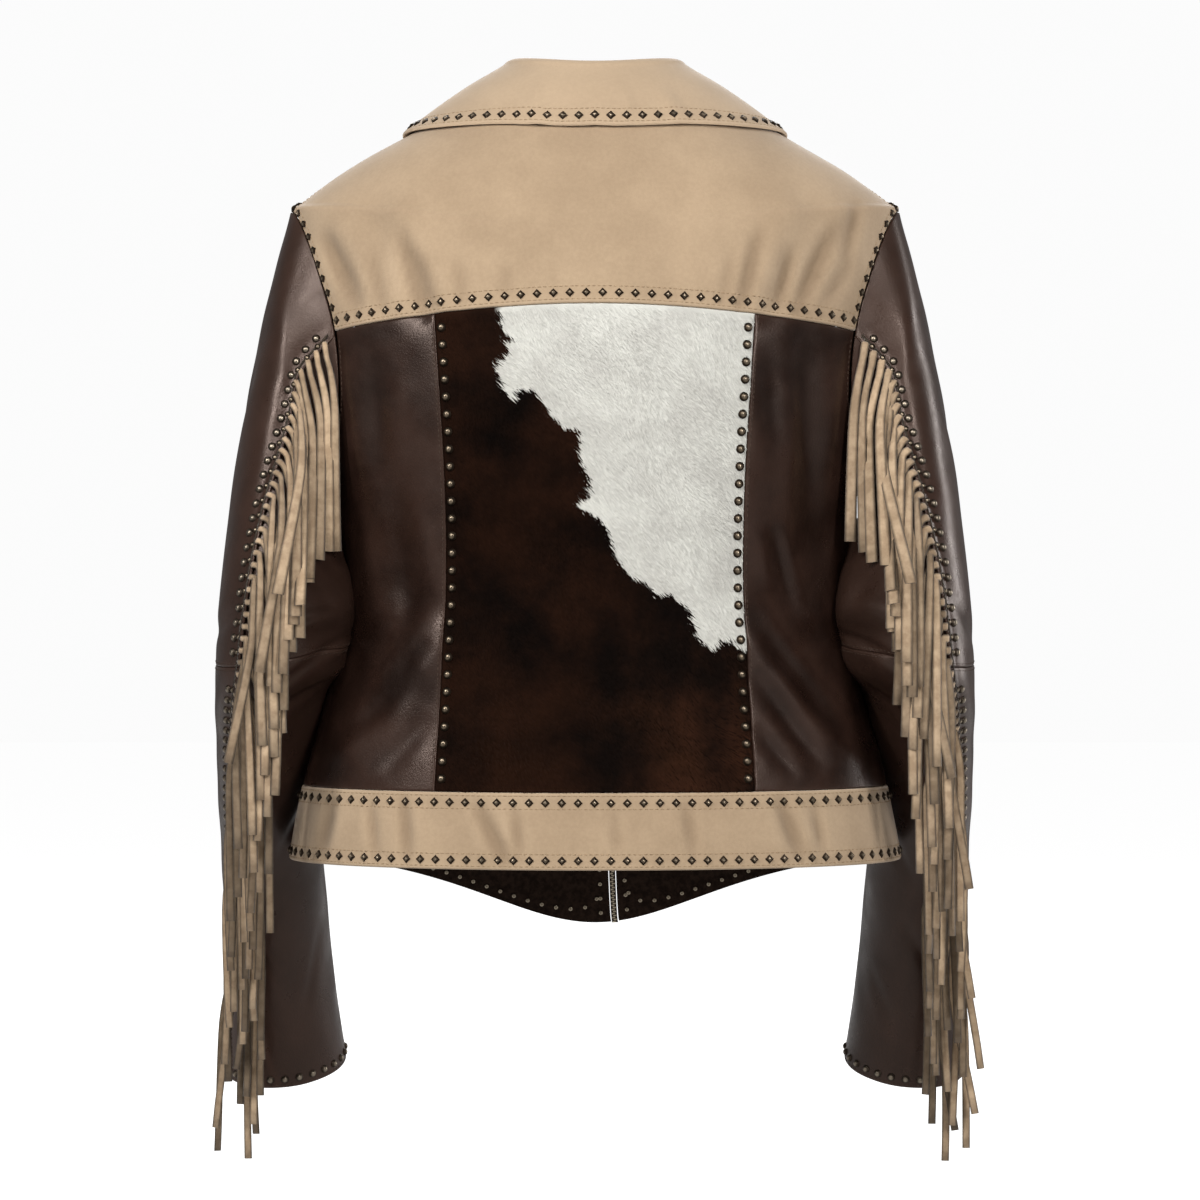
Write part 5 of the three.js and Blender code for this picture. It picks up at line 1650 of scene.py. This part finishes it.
set_in_rows("leather_stitches", leather_lines, stitch, brown_thread, "brown_leather")

# Zip: a brown cloth tape behind the closing with two rows of interlocked brass teeth.
# The slider and its pull tab are die-cast brass; the tab hangs from the slider's bar.
TOOTH_PITCH = 1.45  # between a tooth and its neighbour on the other side
CHAIN_HALF_WIDTH = 2.2
CHAIN_START = 0.004  # shares of the closing at which the chain starts and ends
CHAIN_TOP = 0.97
TAPE_DEPTH = 0.3  # of the tape's face below the leather's
TOOTH_SHIFT = 0.55  # of the teeth to either side of the chain's middle


def chain_face(u, v):
    """The chain's face between the front edges, from the hem to its top."""
    share = CHAIN_START + (CHAIN_TOP - CHAIN_START) * v
    place = closing(share, CHAIN_HALF_WIDTH * (2 * u - 1))
    return body_face(place[..., 0], place[..., 1])


zip_cloth = clouded_material(
    "zip_tape", 900, (0.02, 0.012, 0.008), (0.05, 0.03, 0.02), Roughness=0.85
)
tape = shell("zip_tape", grid_of(chain_face, 1.6), -TAPE_DEPTH, -LEATHER, zip_cloth, roll=0.2)
on_jacket(tape, "old_brass", "zip_chain")
tooth = turned_solid([[1.0, -0.6], [1.0, 0.6], [0.75, 0.85]], 4, math.pi / 4)
points, ways, along = along_edge(chain_face, TOOTH_PITCH, 0.0, "left", CHAIN_HALF_WIDTH)
shift = np.where(np.arange(len(points)) % 2, TOOTH_SHIFT, -TOOTH_SHIFT)[:, None]
points = points + np.cross(ways, along) * shift
for name, places in (
    ("zip_teeth", (points, ways, along)),
    ("zip_teeth_inside", (points - ways * LEATHER, -ways, along)),
):
    set_in_rows(name, [places], tooth, old_brass, stretch=(0.8, 1.9, 1), smooth=False)
cast_brass = clouded_material(
    "cast_brass", 260, (0.20, 0.15, 0.09), (0.46, 0.38, 0.26), Metallic=1.0, Roughness=0.38
)
for node in ("zip_slider", "zip_pull"):
    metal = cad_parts[node]
    metal.data.materials.clear()
    metal.data.materials.append(cast_brass)

# Floor and light: a pale floor below the hanging jacket and soft light from all round.
# Both floor and room shine brighter to the camera than they light the jacket, so that they run
# into one white ground.
FLOOR_Z = -790
FLOOR_REACH = 9000
FLOOR_GLOW = (0.05, 0.9)  # as other rays meet it and as the camera sees it
ROOM_GLOW = (0.17, 0.97)
floor_corners = np.array([[-1, -1, 1], [1, -1, 1], [1, 1, 1], [-1, 1, 1]])
floor_corners = floor_corners * [FLOOR_REACH, FLOOR_REACH, FLOOR_Z]
floor = mesh_of("floor", floor_corners, [[0, 1, 2, 3]], False)
floor_material, floor_tree, floor_shader, _ = new_material(
    "pale_floor", Roughness=0.95, Base_Color=(0.4, 0.4, 0.4, 1), Emission_Color=(1, 1, 1, 1)
)
seen = put(floor_tree, "ShaderNodeLightPath").outputs["Is Camera Ray"]
glow = ranged(floor_tree, seen, after=FLOOR_GLOW)
feed(floor_tree, floor_shader.inputs["Emission Strength"], glow)
floor.data.materials.append(floor_material)

LAMPS = [  # place, width, height and power
    ((1.6, 1.7, 0.75), 0.35, 1.2, 32),
    ((-1.1, 2.3, 0.6), 0.28, 1.5, 36),
    ((0.5, 1.9, 1.3), 0.9, 0.7, 24),
    ((0.0, -2.3, 1.3), 1.6, 0.9, 60),
    ((-1.9, -0.6, -0.1), 0.3, 1.6, 16),
]
LAMP_AIM = Vector((0, 0, -0.32))
for number, (place, width, height, power) in enumerate(LAMPS):
    lamp_data = bpy.data.lights.new(f"softbox_{number}", "AREA")
    lamp_data.shape = "RECTANGLE"
    lamp_data.size = width
    lamp_data.size_y = height
    lamp_data.energy = power
    lamp = bpy.data.objects.new(f"softbox_{number}", lamp_data)
    lamp.location = place
    lamp.rotation_euler = (LAMP_AIM - Vector(place)).to_track_quat("-Z", "Y").to_euler()
    bpy.context.scene.collection.objects.link(lamp)
world = bpy.data.worlds.new("white_room")
world.use_nodes = True
sky = world.node_tree
ray = put(sky, "ShaderNodeLightPath").outputs["Is Camera Ray"]
feed(sky, sky.nodes["Background"].inputs["Strength"], ranged(sky, ray, after=ROOM_GLOW))
sky.nodes["Background"].inputs["Color"].default_value = (1, 1, 1, 1)
bpy.context.scene.world = world
bpy.context.scene.view_settings.view_transform = "Standard"
